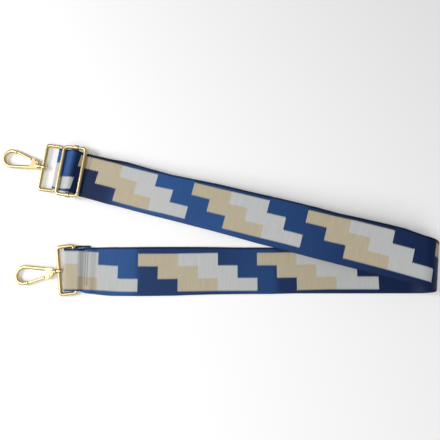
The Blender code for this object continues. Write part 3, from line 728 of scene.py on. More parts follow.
@dataclass(frozen=True)
class Weave:
    """The webbing's weave and pattern: sizes in metres, and the marks that the pattern keeps to.

    Places are distances along the strap, equal to x on the lower leg. Steps count the pattern's
    own steps. Those of the inner face start at 24, so that its ground has painted sheen and
    shade of its own.
    """

    rib: float = 0.0023             # between two ribs across the webbing
    yarn: float = 0.00062           # between two yarns along it
    drift: float = 0.00022          # how far a rib strays, from side to side
    drift_scale: float = 900.0      # of the noise that lets it stray
    fuzz: float = 0.25              # height of the fuzz, where a yarn has 1
    fuzz_scale: float = 5200.0      # of the noise that makes it
    fuzz_detail: float = 1.0
    # Painted shade in the valleys between the yarns, and painted light on their tops
    painted_valley_shade: float = 0.90      # shade between the yarns
    painted_top_light: float = 0.16         # what their tops have more
    row: float = 0.01370            # width of one row of the pattern
    rows: float = 3.0               # number of its rows
    tooth: float = 0.0009           # how far the rows' edges jump from rib to rib
    step: float = 0.02168           # length of one step of the pattern
    repeat: float = 6.0             # number of steps before it starts again
    ground_end: float = 2.0         # step where the ground ends and the beige block starts
    beige_end: float = 4.0          # step where the beige block ends and the white one starts
    inner_places: tuple = (-0.1341, -0.0024, 0.0408, 0.0839, 0.1273, 0.1733, 0.2450, 0.7494)
    inner_steps: tuple = (24, 30, 32, 34, 36, 38, 40, 64)
    outer_places: tuple = (-0.1990, 0.2606, 0.2830, 0.3949, 0.6036, 0.6286, 0.6540, 0.6774, 0.7208)
    outer_steps: tuple = (35.2, 14, 13, 8, -2, -3, -4, -5, -7)
    inner_sway_places: tuple = (-0.152, -0.128, -0.107, -0.060, -0.030, 0.000, 0.060, 0.120)
    inner_sway: tuple = (-0.0006, -0.0015, -0.0026, -0.0026, -0.0021, -0.0016, -0.0014, 0.0)
    outer_sway_places: tuple = (
        0.230, 0.290, 0.310, 0.345, 0.365, 0.460, 0.490, 0.545, 0.565, 0.592, 0.612, 0.640, 0.652,
        0.662, 0.676, 0.690)
    outer_sway: tuple = (
        0.0, 0.0016, 0.0020, 0.0021, 0.0015, 0.0013, 0.0008, 0.0007, 0.0, 0.0, 0.0008, 0.0008, 0.0010,
        -0.0008, -0.0008, 0.0)

    def inner(self, along: Array) -> Array:
        """Place in the pattern of the face that is inside the fold: straight between the marks."""
        before = np.minimum(along - self.inner_places[0], 0) / self.step
        return self.step * (np.interp(along, self.inner_places, self.inner_steps) + before)

    def outer(self, along: Array) -> Array:
        """Place in the pattern of the other face, where it runs the other way."""
        return self.step * np.interp(along, self.outer_places, self.outer_steps)

    def inner_middle(self, along: Array) -> Array:
        """How far the inner face's rows lie towards +Y from the webbing's middle."""
        return np.interp(along, self.inner_sway_places, self.inner_sway)

    def outer_middle(self, along: Array) -> Array:
        """How far the outer face's rows lie towards +Y from the webbing's middle."""
        return np.interp(along, self.outer_sway_places, self.outer_sway)

    def group(self) -> bpy.types.NodeTree:
        """Build the shared group of the weave.

        Returns:
            The group, which puts out a height and a painted shade that is darker in its valleys:
            ribs across the webbing, crossed by fine yarns along it that lie half a yarn aside
            from one pick to the next.
        """
        tree, get, put = new_group(
            "weave", {"Along": "Float", "Across": "Float"}, {"Height": "Float", "Shade": "Float"})
        along, across = get["Along"], get["Across"]
        flat = tree.pair(along, across)
        drift = tree.math("MULTIPLY_ADD", tree.noise(flat, self.drift_scale), self.drift, -self.drift / 2)
        place = tree.math("ADD", along, drift)
        ribs, picks = tree.wave(place, self.rib), tree.wave(place, self.rib / 2)
        pick = tree.math("ROUND", tree.math("DIVIDE", along, self.rib / 2))
        aside = tree.math("MULTIPLY", pick, self.yarn / 2)
        yarns = tree.wave(tree.math("ADD", across, aside), self.yarn)
        both = tree.math("ADD", tree.math("MULTIPLY", ribs, 0.5), tree.math("MULTIPLY", picks, 0.5))
        crossed = tree.math("MULTIPLY", both, tree.math("MULTIPLY_ADD", yarns, 0.5, 0.5))
        fuzz = tree.noise(flat, self.fuzz_scale, self.fuzz_detail)
        tree.feed(put["Height"], tree.math("MULTIPLY_ADD", fuzz, self.fuzz, crossed))
        tree.feed(put["Shade"], tree.math("MULTIPLY_ADD", crossed, self.painted_top_light, self.painted_valley_shade))
        return tree.tree


WEAVE = Weave()


@dataclass(frozen=True)
class WebbingFinish:
    """Woven webbing: stepped blocks of two pale yarns on a blue ground.

    The ground's paleness along the strap, from 0 to 1 at each listed step, is painted sheen,
    paler towards the hooks, and painted shade, darkest by slider and fold. The rims are the
    selvedges: the plus one, on the +Y edge, is partly a dark selvedge but mostly a painted
    shadow; the minus one, on the other edge, is partly a dark selvedge and partly painted shade.
    The strip between the plus rim and a block is darker too, at all the steps before
    border_before, which are those of the upper leg's outer face.
    """

    # Painted sheen and shade of the blue ground: how pale it is at each step, between its sheen-lit colour
    # and its shaded colour.
    ground_steps: tuple = (
        -5.0, -4.5, -4.0, -2.8, -2.1, 0.0, 2.0, 4.0, 6.0, 9.0, 12.5, 15.0,
        24.0, 25.8, 26.2, 28.0, 30.0, 31.0, 32.7, 33.1, 36.0, 40.0)
    ground_sheen_and_shade: tuple = (
        1.0, 0.95, 0.10, 0.04, 0.32, 0.82, 0.78, 0.74, 0.56, 0.38, 0.12, 0.03,
        0.88, 0.80, 0.30, 0.28, 0.32, 0.42, 0.52, 0.18, 0.11, 0.03)
    sheen_lit_ground: Colour = (0.032, 0.118, 0.365, 1.0)
    shaded_ground: Colour = (0.004, 0.015, 0.072, 1.0)
    beige: Colour = (0.540, 0.468, 0.335, 1.0)
    white: Colour = (0.575, 0.590, 0.585, 1.0)
    patch_scale: float = 26.0
    patch_detail: float = 3.0
    patch_depth: float = 0.22
    streak_scale: tuple = (620.0, 45.0, 1.0)
    streak_detail: float = 3.0
    streak_depth: float = 0.24
    # The plus rim is partly a dark selvedge but mostly painted shadow; the minus rim is partly a dark
    # selvedge and partly painted shade.
    plus_shadow_rim: float = 0.0021
    plus_shadow_rim_shade: float = 0.30
    minus_rim: float = 0.0008
    minus_rim_shade: float = 0.50
    border_shade: float = 0.62
    border_before: float = 20.0
    valley_roughness: float = 0.56
    top_gloss: float = 0.14
    block_rise: float = 0.35
    relief: float = 0.00012
    relief_strength: float = 0.7
    specular: float = 0.18

    def material(self, weave: bpy.types.NodeTree) -> bpy.types.Material:
        """Build the material from the strap's own maps.

        Args:
            weave: the shared weave group.

        Returns:
            The material.
        """
        made, tree, shader = new_material("woven webbing")
        along, across = tree.uv(STRAP_MAP)
        flat = tree.pair(along, across)
        pale, white, border = self.pattern(tree, along, across)
        colour = tree.mix(pale, self.ground(tree, along, flat), tree.mix(white, self.beige, self.white))
        woven = tree.group(weave, Along=along, Across=across)
        streaks = tree.noise(tree.mapped(flat, self.streak_scale), 1.0, self.streak_detail)
        streaked = tree.math("MULTIPLY_ADD", streaks, self.streak_depth, 1 - self.streak_depth / 2)
        # Painted shade of the weave's valleys and painted shadow at the rims darken the colour, with the
        # webbing's own streaks and border strip
        shade = tree.math("MULTIPLY", woven.outputs["Shade"], streaked)
        shade = tree.math("MULTIPLY", tree.math("MULTIPLY", shade, border), self.selvedges(tree))
        tree.feed(shader.inputs["Base Color"], tree.mix(1.0, colour, tree.grey(shade), "MULTIPLY"))
        height = woven.outputs["Height"]
        rough = tree.math("MULTIPLY_ADD", height, -self.top_gloss, self.valley_roughness)
        tree.feed(shader.inputs["Roughness"], rough)
        raised = tree.math("MULTIPLY_ADD", pale, self.block_rise, height)
        tree.bump(shader, raised, self.relief_strength, self.relief)
        shader.inputs["Specular IOR Level"].default_value = self.specular
        return made

    def pattern(self, tree: Tree, along: Socket, across: Socket) -> tuple[Socket, Socket, Socket]:
        """Lay out the stepped blocks.

        Args:
            tree: the material's tree.
            along: place along the pattern.
            across: place across it, from the rows' middle towards +Y.

        Returns:
            Whether a place is in a block, whether that block is white, and the shade of the strip
            above the blocks. Row k starts its blocks k steps later; of every six steps two are
            ground, two are beige and two are white.
        """
        in_rib = tree.math("FRACT", tree.math("DIVIDE", along, WEAVE.rib))
        second_half = tree.math("GREATER_THAN", in_rib, 0.5)
        jump = tree.math("MULTIPLY_ADD", second_half, WEAVE.tooth, -WEAVE.tooth / 2)
        down = tree.math("SUBTRACT", WEAVE.rows / 2 * WEAVE.row, tree.math("ADD", across, jump))
        rows_down = tree.math("DIVIDE", down, WEAVE.row)
        row = tree.math("MAXIMUM", tree.math("FLOOR", rows_down), 0.0)
        row = tree.math("MINIMUM", row, WEAVE.rows - 1)
        count = tree.math("SUBTRACT", tree.math("DIVIDE", along, WEAVE.step), row)
        phase = tree.math("FLOORED_MODULO", count, WEAVE.repeat)
        block = tree.math("GREATER_THAN", phase, WEAVE.ground_end)
        white = tree.math("GREATER_THAN", phase, WEAVE.beige_end)
        below_top = tree.math("GREATER_THAN", rows_down, 0.0)
        inside = tree.math("MULTIPLY", below_top, tree.math("LESS_THAN", rows_down, WEAVE.rows))
        pale = tree.math("MULTIPLY", inside, block)
        above = tree.math("MULTIPLY", tree.math("LESS_THAN", rows_down, 0.0), block)
        on_leg = tree.math("LESS_THAN", along, self.border_before * WEAVE.step)
        strip = tree.math("MULTIPLY", above, on_leg)
        return pale, white, tree.math("MULTIPLY_ADD", strip, self.border_shade - 1, 1.0)

    def ground(self, tree: Tree, along: Socket, flat: Socket) -> Socket:
        """Colour of the ground.

        Args:
            tree: the material's tree.
            along: place along the pattern.
            flat: place on the webbing as a vector.

        Returns:
            The colour: painted sheen and shade change it along the strap, and large soft
            patches are darker.
        """
        patches = tree.noise(flat, self.patch_scale, self.patch_detail)
        # painted sheen and shade along the strap
        sheen_and_shade_colour = tree.mix(self.painted_sheen_and_shade(tree, along), self.shaded_ground, self.sheen_lit_ground)
        return tree.mix(tree.math("MULTIPLY", patches, self.patch_depth), sheen_and_shade_colour, BLACK)

    def selvedges(self, tree: Tree) -> Socket:
        """Darken the two selvedges.

        Args:
            tree: the material's tree.

        Returns:
            Their shade: 1 between them, and less within a small distance of each edge: mostly
            painted shadow by the +Y edge, partly a dark selvedge and partly painted shade by the
            other.
        """
        # painted shadow and shade along the edges, over a dark selvedge
        plus, minus = tree.uv(EDGE_MAP)
        on_plus = tree.math("LESS_THAN", plus, self.plus_shadow_rim)
        on_minus = tree.math("LESS_THAN", minus, self.minus_rim)
        first = tree.math("MULTIPLY_ADD", on_plus, self.plus_shadow_rim_shade - 1, 1.0)
        second = tree.math("MULTIPLY_ADD", on_minus, self.minus_rim_shade - 1, 1.0)
        return tree.math("MULTIPLY", first, second)

    def painted_sheen_and_shade(self, tree: Tree, along: Socket) -> Socket:
        """How pale the ground is.

        Args:
            tree: the material's tree.
            along: place along the pattern.

        Returns:
            A share that changes along the strap: painted sheen, paler towards the hooks, and
            painted shade, lowest by slider and fold.
        """
        first, last = self.ground_steps[0], self.ground_steps[-1]
        steps = tree.math("SUBTRACT", tree.math("DIVIDE", along, WEAVE.step), first)
        curve = tree.add("ShaderNodeFloatCurve")
        tree.feed(curve.inputs["Value"], tree.math("DIVIDE", steps, last - first))
        points = curve.mapping.curves[0].points
        points[-1].location = (1.0, self.ground_sheen_and_shade[-1])
        points[0].location = (0.0, self.ground_sheen_and_shade[0])
        for place, shade in zip(self.ground_steps[1:-1], self.ground_sheen_and_shade[1:-1]):
            points.new((place - first) / (last - first), shade)
        curve.mapping.update()
        return curve.outputs[0]


@dataclass(frozen=True)
class ThreadFinish:
    """Twisted sewing thread."""

    # Painted shade in the valleys between the plies, painted light on their tops
    ply_valley_shaded: Colour = (0.42, 0.41, 0.38, 1.0)
    top: Colour = (0.56, 0.55, 0.51, 1.0)
    twist: float = 0.0007
    slant: float = 0.8
    fuzz_scale: float = 4000.0
    roughness: float = 0.55
    fuzz_roughness: float = 0.2
    relief: float = 0.0001
    relief_strength: float = 0.6

    def material(self) -> bpy.types.Material:
        """Build the material.

        Returns:
            The material: plies wind round the thread, so they cross it at a slant; painted
            shade darkens the valleys between them and painted light their tops.
        """
        made, tree, shader = new_material("sewing thread")
        place = tree.add("ShaderNodeTexCoord").outputs["Object"]
        x, y, _ = tree.parts(place)
        plies = tree.wave(tree.math("MULTIPLY_ADD", x, self.slant, y), self.twist)
        tree.feed(shader.inputs["Base Color"], tree.mix(plies, self.ply_valley_shaded, self.top))
        fuzz = tree.noise(place, self.fuzz_scale)
        rough = tree.math("MULTIPLY_ADD", fuzz, self.fuzz_roughness, self.roughness)
        tree.feed(shader.inputs["Roughness"], rough)
        tree.bump(shader, plies, self.relief_strength, self.relief)
        return made


@dataclass(frozen=True)
class Handling:
    """Marks of handling on metal: soft blotches and fine scratches, from the piece's own place."""

    blotch_scale: float = 160.0
    blotch_detail: float = 4.0
    scratch_turn: tuple = (0.3, 0.5, 0.9)
    scratch_scale: tuple = (300.0, 5200.0, 5200.0)
    scratch_detail: float = 3.0
    unscratched: float = 0.55
    scratch_gain: float = 2.2

    def group(self) -> bpy.types.NodeTree:
        """Build the shared group.

        Returns:
            The group: the blotches are a plain noise, the scratches what a noise that is drawn
            out one way has over the unscratched level.
        """
        tree, get, put = new_group(
            "handling", {"Place": "Vector"}, {"Blotch": "Float", "Scratch": "Float"})
        tree.feed(put["Blotch"], tree.noise(get["Place"], self.blotch_scale, self.blotch_detail))
        drawn_out = tree.mapped(get["Place"], self.scratch_scale, self.scratch_turn)
        fine = tree.noise(drawn_out, 1.0, self.scratch_detail)
        over = tree.math("MAXIMUM", tree.math("SUBTRACT", fine, self.unscratched), 0.0)
        tree.feed(put["Scratch"], tree.math("MULTIPLY", over, self.scratch_gain))
        return tree.tree


@dataclass(frozen=True)
class MetalFinish:
    """Metal with marks of handling: plated hardware, or bare spring steel."""

    name: str
    colour: Colour
    worn: Colour
    roughness: float
    blotch_roughness: float = 0.14
    scratch_roughness: float = 0.35
    relief: float = 0.00003
    relief_strength: float = 0.25

    def material(self, handling: bpy.types.NodeTree) -> bpy.types.Material:
        """Build the material from the piece's own place.

        Args:
            handling: the shared group of blotches and scratches.

        Returns:
            The material: blotches change its colour a little, scratches roughen it.
        """
        made, tree, shader = new_material(self.name)
        marks = tree.group(handling, Place=tree.add("ShaderNodeTexCoord").outputs["Object"])
        blotch, scratch = marks.outputs["Blotch"], marks.outputs["Scratch"]
        tree.feed(shader.inputs["Base Color"], tree.mix(blotch, self.colour, self.worn))
        shader.inputs["Metallic"].default_value = 1.0
        least = self.roughness - self.blotch_roughness / 2
        uneven = tree.math("MULTIPLY_ADD", blotch, self.blotch_roughness, least)
        rough = tree.math("MULTIPLY_ADD", scratch, self.scratch_roughness, uneven)
        tree.feed(shader.inputs["Roughness"], rough)
        height = tree.math("MULTIPLY_ADD", scratch, -1.0, blotch)
        tree.bump(shader, height, self.relief_strength, self.relief)
        return made


GOLD_PLATE = MetalFinish(
    "pale gold plate", colour=(0.78, 0.65, 0.36, 1.0), worn=(0.64, 0.51, 0.26, 1.0), roughness=0.40)
SPRING_STEEL = MetalFinish(
    "spring steel", colour=(0.56, 0.57, 0.60, 1.0), worn=(0.44, 0.45, 0.47, 1.0), roughness=0.36)


@dataclass
class Finishes:
    """Every material of the strap, built once."""

    webbing: bpy.types.Material
    thread: bpy.types.Material
    gold: bpy.types.Material
    steel: bpy.types.Material

    @classmethod
    def build(cls) -> "Finishes":
        """Build the shared groups and the four materials.

        Returns:
            All of them.
        """
        handling = Handling().group()
        return cls(
            webbing=WebbingFinish().material(WEAVE.group()),
            thread=ThreadFinish().material(),
            gold=GOLD_PLATE.material(handling),
            steel=SPRING_STEEL.material(handling),
        )


# Layout of the strap


@dataclass(frozen=True)
class Layout:
    """Sizes that place the strap, and the frames that follow from them.

    gap is the room between pieces that touch. The draw-ins say how much narrower the webbing is on
    either side where slider or ring gathers it. A spacing lies between the two long sides of a
    wire frame, and wire is half a wire's thickness. The skews turn slider and rings on the webbing.
    """

    gap: float = 0.0003
    width: float = 0.050
    thickness: float = 0.0014
    loop_draw_in: float = 0.0015
    hump_draw_in: float = 0.0014
    leg_angle: float = math.radians(15.1)
    fold_radius: float = 0.0200
    fold_x: float = 0.2066
    fold_parts: int = 4
    lower_end: float = -0.1702
    slider_run: float = 0.3868
    adjusting_run: float = 0.300
    skew: float = math.radians(7.5)
    wire: float = 0.0017
    ring_spacing: float = 0.0175
    slider_spacing: float = 0.0250
    slider_side_step: float = 0.0004
    slider_lead: float = 0.0045
    bar_radius: float = 0.0016
    bar_offset: float = 0.0015
    lower_ring_skew: float = math.radians(7.5)
    lower_ring_set_in: float = 0.0119
    lower_ring_side_step: float = 0.0014
    yoke_depth: float = 0.0056
    hook_tip: float = 0.0465

    @property
    def half(self) -> float:
        """Half the webbing's thickness."""
        return self.thickness / 2

    @property
    def half_angle(self) -> float:
        """Half the angle between the legs."""
        return self.leg_angle / 2

    @property
    def loop_radius(self) -> float:
        """Radius of the webbing's middle round a ring's bar."""
        return self.wire + self.gap + self.half

    @property
    def bar_loop_radius(self) -> float:
        """Radius of the webbing's middle round the slider's bar."""
        return self.bar_radius + self.gap + self.half

    @property
    def slider_height(self) -> float:
        """Height of the slider's wire over the leg's underside."""
        return self.thickness + self.gap + self.wire

    @property
    def taken_up(self) -> float:
        """Distance along the upper leg from the fold to where the run meets the hump."""
        return self.slider_run - (self.slider_spacing / 2 + self.slider_lead) / math.cos(self.skew)

    @property
    def ring_drop(self) -> float:
        """Depth of the upper ring's bar under the leg's underside."""
        return self.gap + self.wire

    @property
    def ring_run(self) -> float:
        """Distance from the slider's middle to the upper ring's bar."""
        return self.slider_spacing / 2 + 2 * self.wire + self.gap + self.bar_radius

    @property
    def leg_slope(self) -> float:
        """How fast the upper leg falls from the fold to its ring.

        Returns:
            The drop from the fold's top to where the ring lies on the lower leg, over the way.
        """
        depth = self.ring_drop + self.loop_radius + self.half
        reach = (self.width / 2 - self.loop_draw_in) * math.tan(self.half_angle)
        rise = 2 * self.fold_radius - self.thickness - depth - self.gap
        return rise / (self.slider_run + self.ring_run + reach)

    @property
    def fold_tilt(self) -> float:
        """How far past a half turn the fold goes."""
        return math.asin(self.leg_slope / math.cos(self.half_angle))

    @property
    def fold_turn(self) -> float:
        """Whole turn of the fold."""
        return math.pi + self.fold_tilt

    @property
    def hook_droop(self) -> float:
        """Slope at which ring and hook reach down to the surface they lie on."""
        reach = self.ring_spacing + self.hook_tip
        return math.asin((self.loop_radius + self.half - self.yoke_depth / 2 - self.gap) / reach)

    @property
    def fold_axis(self) -> Array:
        """Direction of the fold's axis."""
        return np.array([math.sin(self.half_angle), math.cos(self.half_angle), 0.0])

    @property
    def fold_out(self) -> Array:
        """Direction away from the legs, level and square to the fold's axis."""
        return np.array([math.cos(self.half_angle), -math.sin(self.half_angle), 0.0])

    @property
    def fold_length(self) -> float:
        """Length of webbing in the fold, along the strap."""
        return self.fold_radius * self.fold_turn / math.cos(self.half_angle)

    def fold_points(self, angle: Array, radius: float, along: Array) -> Array:
        """Points of the fold: a circle square to the axis, moved along it.

        Args:
            angle: turn from the floor at each point.
            radius: distance from the axis.
            along: place along the axis at each point.

        Returns:
            Array of points in the row frame.
        """
        angle, along = np.atleast_1d(angle)[:, None], np.atleast_1d(along)[:, None]
        out = self.fold_out * radius * np.sin(angle)
        flat = np.array([self.fold_x, 0.0, 0.0]) + self.fold_axis * along + out
        flat[:, 2] += self.fold_radius - radius * np.cos(angle[:, 0])
        return flat

    def fold_middle(self, angle: Array) -> Array:
        """Place of the webbing's middle along the fold's axis: it climbs as the fold turns."""
        return self.fold_radius * angle * math.tan(self.half_angle)

    def leg_frame(self) -> Array:
        """Frame of the upper leg, from where the fold hands over to it.

        Returns:
            The matrix: x to the fold, z out of the face that shows.
        """
        tilt, half = self.fold_tilt, self.half_angle
        origin = self.fold_points(self.fold_turn, self.fold_radius, self.fold_middle(self.fold_turn))[0]
        down = -self.fold_out * math.cos(tilt) - np.array([0.0, 0.0, math.sin(tilt)])
        x_axis = -(down * math.cos(half) + self.fold_axis * math.sin(half))
        y_axis = self.fold_axis * math.cos(half) - down * math.sin(half)
        matrix = np.eye(4)
        matrix[:3, :3] = np.column_stack([x_axis, y_axis, np.cross(x_axis, y_axis)])
        matrix[:3, 3] = origin
        return matrix

    def slider_frame(self) -> Array:
        """Frame of the slider: x to the fold, on the leg's underside."""
        return self.leg_frame() @ shift(-self.slider_run, 0, -self.thickness) @ turn(Axis.Z, self.skew)

    def loop_frame(self) -> Array:
        """Frame on the upper ring's inner bar, turned like the slider."""
        side_step = self.ring_run * math.tan(self.skew)
        return self.slider_frame() @ shift(-self.ring_run, side_step, -self.ring_drop)

    def ring_frame(self, end: End) -> Array:
        """Frame of a ring.

        Args:
            end: which of the two.

        Returns:
            The matrix: x away from the strap, y along the ring's inner bar.
        """
        if end is End.ADJUSTING:
            level = math.asin(self.leg_slope) - self.hook_droop
            return self.loop_frame() @ turn(Axis.Z, math.pi) @ turn(Axis.Y, -level)
        x = self.lower_end + self.lower_ring_set_in
        place = shift(x, self.lower_ring_side_step, self.loop_radius + self.half)
        return place @ turn(Axis.Z, math.pi + self.lower_ring_skew) @ turn(Axis.Y, self.hook_droop)


# Webbing


@dataclass
class Run:
    """A stretch of webbing as arrays, walked from the lower pocket towards the sewn end.

    centre is the middle, across points to the +Y edge with half the width as its length, outer
    points out of the strap's outer face, along is the place along the strap, and shear is how
    much further along the +Y edge lies. plus and minus are what the +Y edge and the other one
    have gained in width.
    """

    centre: Array
    across: Array
    outer: Array
    along: Array
    shear: Array
    plus: Array | float = 0.0
    minus: Array | float = 0.0

    @classmethod
    def planar(cls, line: Array, frame: Array, start: float, spacing: float, slant: float = 0.0) -> "Run":
        """A run whose middle lies in the x-z plane of a frame.

        Args:
            line: rows of (x, z, half width, side step, skew); skew is how far the line across
                turns, as x over y.
            frame: matrix of the frame.
            start: place along the strap at the first row.
            spacing: distance between the rows of points.
            slant: angle between the path and the webbing that crosses it.

        Returns:
            The run: outer is the path's right-hand normal.
        """
        even, walked = spread(line, spacing)
        x, z, half, side, skew = even.T
        ahead = tangents(even[:, :2])
        zero = np.zeros(len(x))
        centre = np.column_stack([x + skew * side, side, z])
        across = np.column_stack([skew * half, half, zero])
        outer = np.column_stack([ahead[:, 1], zero, -ahead[:, 0]])
        along = start + walked / math.cos(slant) + ahead[:, 0] * skew * side
        shear = ahead[:, 0] * skew * half + half * math.sin(slant)
        return cls(moved(frame, centre), aimed(frame, across), aimed(frame, outer), along, shear)

    def widened(self, places: tuple, plus: tuple, minus: tuple) -> "Run":
        """The run where the webbing lies a little wider.

        Args:
            places: places along the strap.
            plus: what the +Y edge gains at each.
            minus: what the other edge gains at each.

        Returns:
            The run: its half width grows by half of both gains, and its middle moves by half of
            their difference.
        """
        more, less = np.interp(self.along, places, plus), np.interp(self.along, places, minus)
        half = np.linalg.norm(self.across, axis=1)
        grown, moved_by = 1 + (more + less) / 2 / half, (more - less) / 2 / half
        return Run(self.centre + self.across * moved_by[:, None], self.across * grown[:, None], self.outer,
                   self.along + self.shear * moved_by, self.shear * grown, more, less)

    def drifted(self, height: float, sway: float, seed: float) -> "Run":
        """The run with long shallow waves and none at its ends.

        Args:
            height: of the waves square to the webbing.
            sway: of the waves from side to side.
            seed: shifts them along.

        Returns:
            The run: sines with 2, 3 and 5 waves to its length, each divided by that number, under
            a window that rises from 0 to 1 within a sixth of the length from either end.
        """
        share = (self.along - self.along[0]) / (self.along[-1] - self.along[0])
        window = np.clip(np.minimum(share, 1 - share) * 6, 0, 1) ** 2
        waves = [np.sin(2 * math.pi * k * share + seed * k) / k for k in (2, 3, 5)]
        up = window * height * (waves[0] + waves[1])
        side = window * sway * (waves[1] + waves[2])
        centre = self.centre - self.outer * up[:, None] + unit(self.across) * side[:, None]
        return Run(centre, self.across, self.outer, self.along, self.shear, self.plus, self.minus)


@dataclass(frozen=True)
class Cloth:
    """Makes webbing surfaces: a flat section with rounded selvedges and ribs across."""

    layout: Layout
    finishes: Finishes
    spacing: float = 0.00038        # between the rows of points
    columns: int = 23               # points across the flat of the section
    bends: tuple = (28.0, 52.0, 76.0)   # degrees of the points round a selvedge
    rib_height: float = 0.00005
    scallop: float = 0.00022        # how far a rib stands out at the selvedge
    scallop_power: int = 12         # the higher, the nearer to the selvedge it starts
    lane_share: float = 0.02        # how much of the pattern's length is left in a lane

    def section(self) -> tuple[Array, Array]:
        """Places across from -1 to 1, and the share of the thickness at each.

        Returns:
            The places, and the shares: 1 on the flat, on a quarter ellipse at the selvedges.
        """
        edge = self.layout.thickness / self.layout.width
        bend = np.radians(self.bends)
        flat = np.linspace(-1 + edge, 1 - edge, self.columns)
        side = 1 - edge + edge * np.sin(bend)
        places = np.concatenate([-side[::-1], flat, side])
        shares = np.concatenate([np.cos(bend)[::-1], np.ones(self.columns), np.cos(bend)])
        return places, shares

    def along(self, run: Run) -> Array:
        """Place along the strap of every point of a stretch: it changes across a sheared one."""
        return run.along[:, None] + run.shear[:, None] * self.section()[0]

    def shell(self, run: Run) -> Shell:
        """Surface of one stretch.

        Args:
            run: the stretch.

        Returns:
            The shell: outer face, inner face, rim. A point is centre + across * place + outer *
            (half thickness * share + rib height * cosine of the ribs), with minus outer on the
            inner face.
        """
        places, shares = self.section()
        rib = np.cos(2 * math.pi * self.along(run) / WEAVE.rib)
        out = self.scallop / (self.layout.width / 2) * rib * np.abs(places) ** self.scallop_power
        sheet = run.centre[:, None] + run.across[:, None] * (places * (1 + out))[..., None]
        depth = self.layout.half * shares + self.rib_height * (rib - 1) * shares
        lift = depth[..., None] * run.outer[:, None]
        faces = lattice(*rib.shape, False, False)
        rim = rim_of(*rib.shape)
        after = np.roll(rim, -1)
        edge = np.column_stack([rim, after, after + rib.size, rim + rib.size])
        quads = np.concatenate([faces, faces[:, ::-1] + rib.size, edge])
        return Shell(np.vstack([(sheet + lift).reshape(-1, 3), (sheet - lift).reshape(-1, 3)]), quads)

    def maps(self, run: Run, quads: Array, lane: float | None) -> dict[str, Array]:
        """The strap's two maps at every corner of a stretch's faces.

        Args:
            run: the stretch.
            quads: its faces.
            lane: place along the strap whose colours run the whole length, or None.

        Returns:
            By name, the places along and across the pattern, where the inner face has its own
            marks, and the distances from the +Y edge and from the other one.
        """
        places, along = self.section()[0], self.along(run)
        half = np.sqrt(np.sum(run.across**2, axis=1) - run.shear**2)
        level = (run.plus - run.minus + np.zeros(len(half)))[:, None] / 2 + half[:, None] * places
        shown = along if lane is None else lane + (along - lane) * self.lane_share
        outer = np.stack([WEAVE.outer(shown), level - WEAVE.outer_middle(shown)], -1).reshape(-1, 2)
        inner = np.stack([WEAVE.inner(shown), level - WEAVE.inner_middle(shown)], -1).reshape(-1, 2)
        edges = np.stack([half[:, None] * (1 - places), half[:, None] * (1 + places)], -1).reshape(-1, 2)
        points = quads % along.size
        count = len(lattice(*along.shape, False, False))
        on_inner = (np.arange(len(quads)) // count == 1)[:, None, None]
        return {STRAP_MAP: np.where(on_inner, inner[points], outer[points]), EDGE_MAP: edges[points]}

    def make(
        self, name: str, run: Run, held: Held | None = None, lane: float | None = None,
    ) -> bpy.types.Object:
        """Make one stretch of webbing with the strap's maps on it.

        Args:
            name: of the piece.
            run: the stretch.
            held: how it lies; not used.
            lane: on a piece that lengthens, the place along the strap whose colours run its length.

        Returns:
            The object.
        """
        shell = self.shell(run).outward()
        made = make_object(name, [shell], self.finishes.webbing)
        for label, values in self.maps(run, shell.quads, lane).items():
            layer = made.data.uv_layers.new(name=label)
            layer.data.foreach_set("uv", values.astype(np.float32).ravel())
        log.info("%s: %d faces", name, len(shell.quads))
        return made


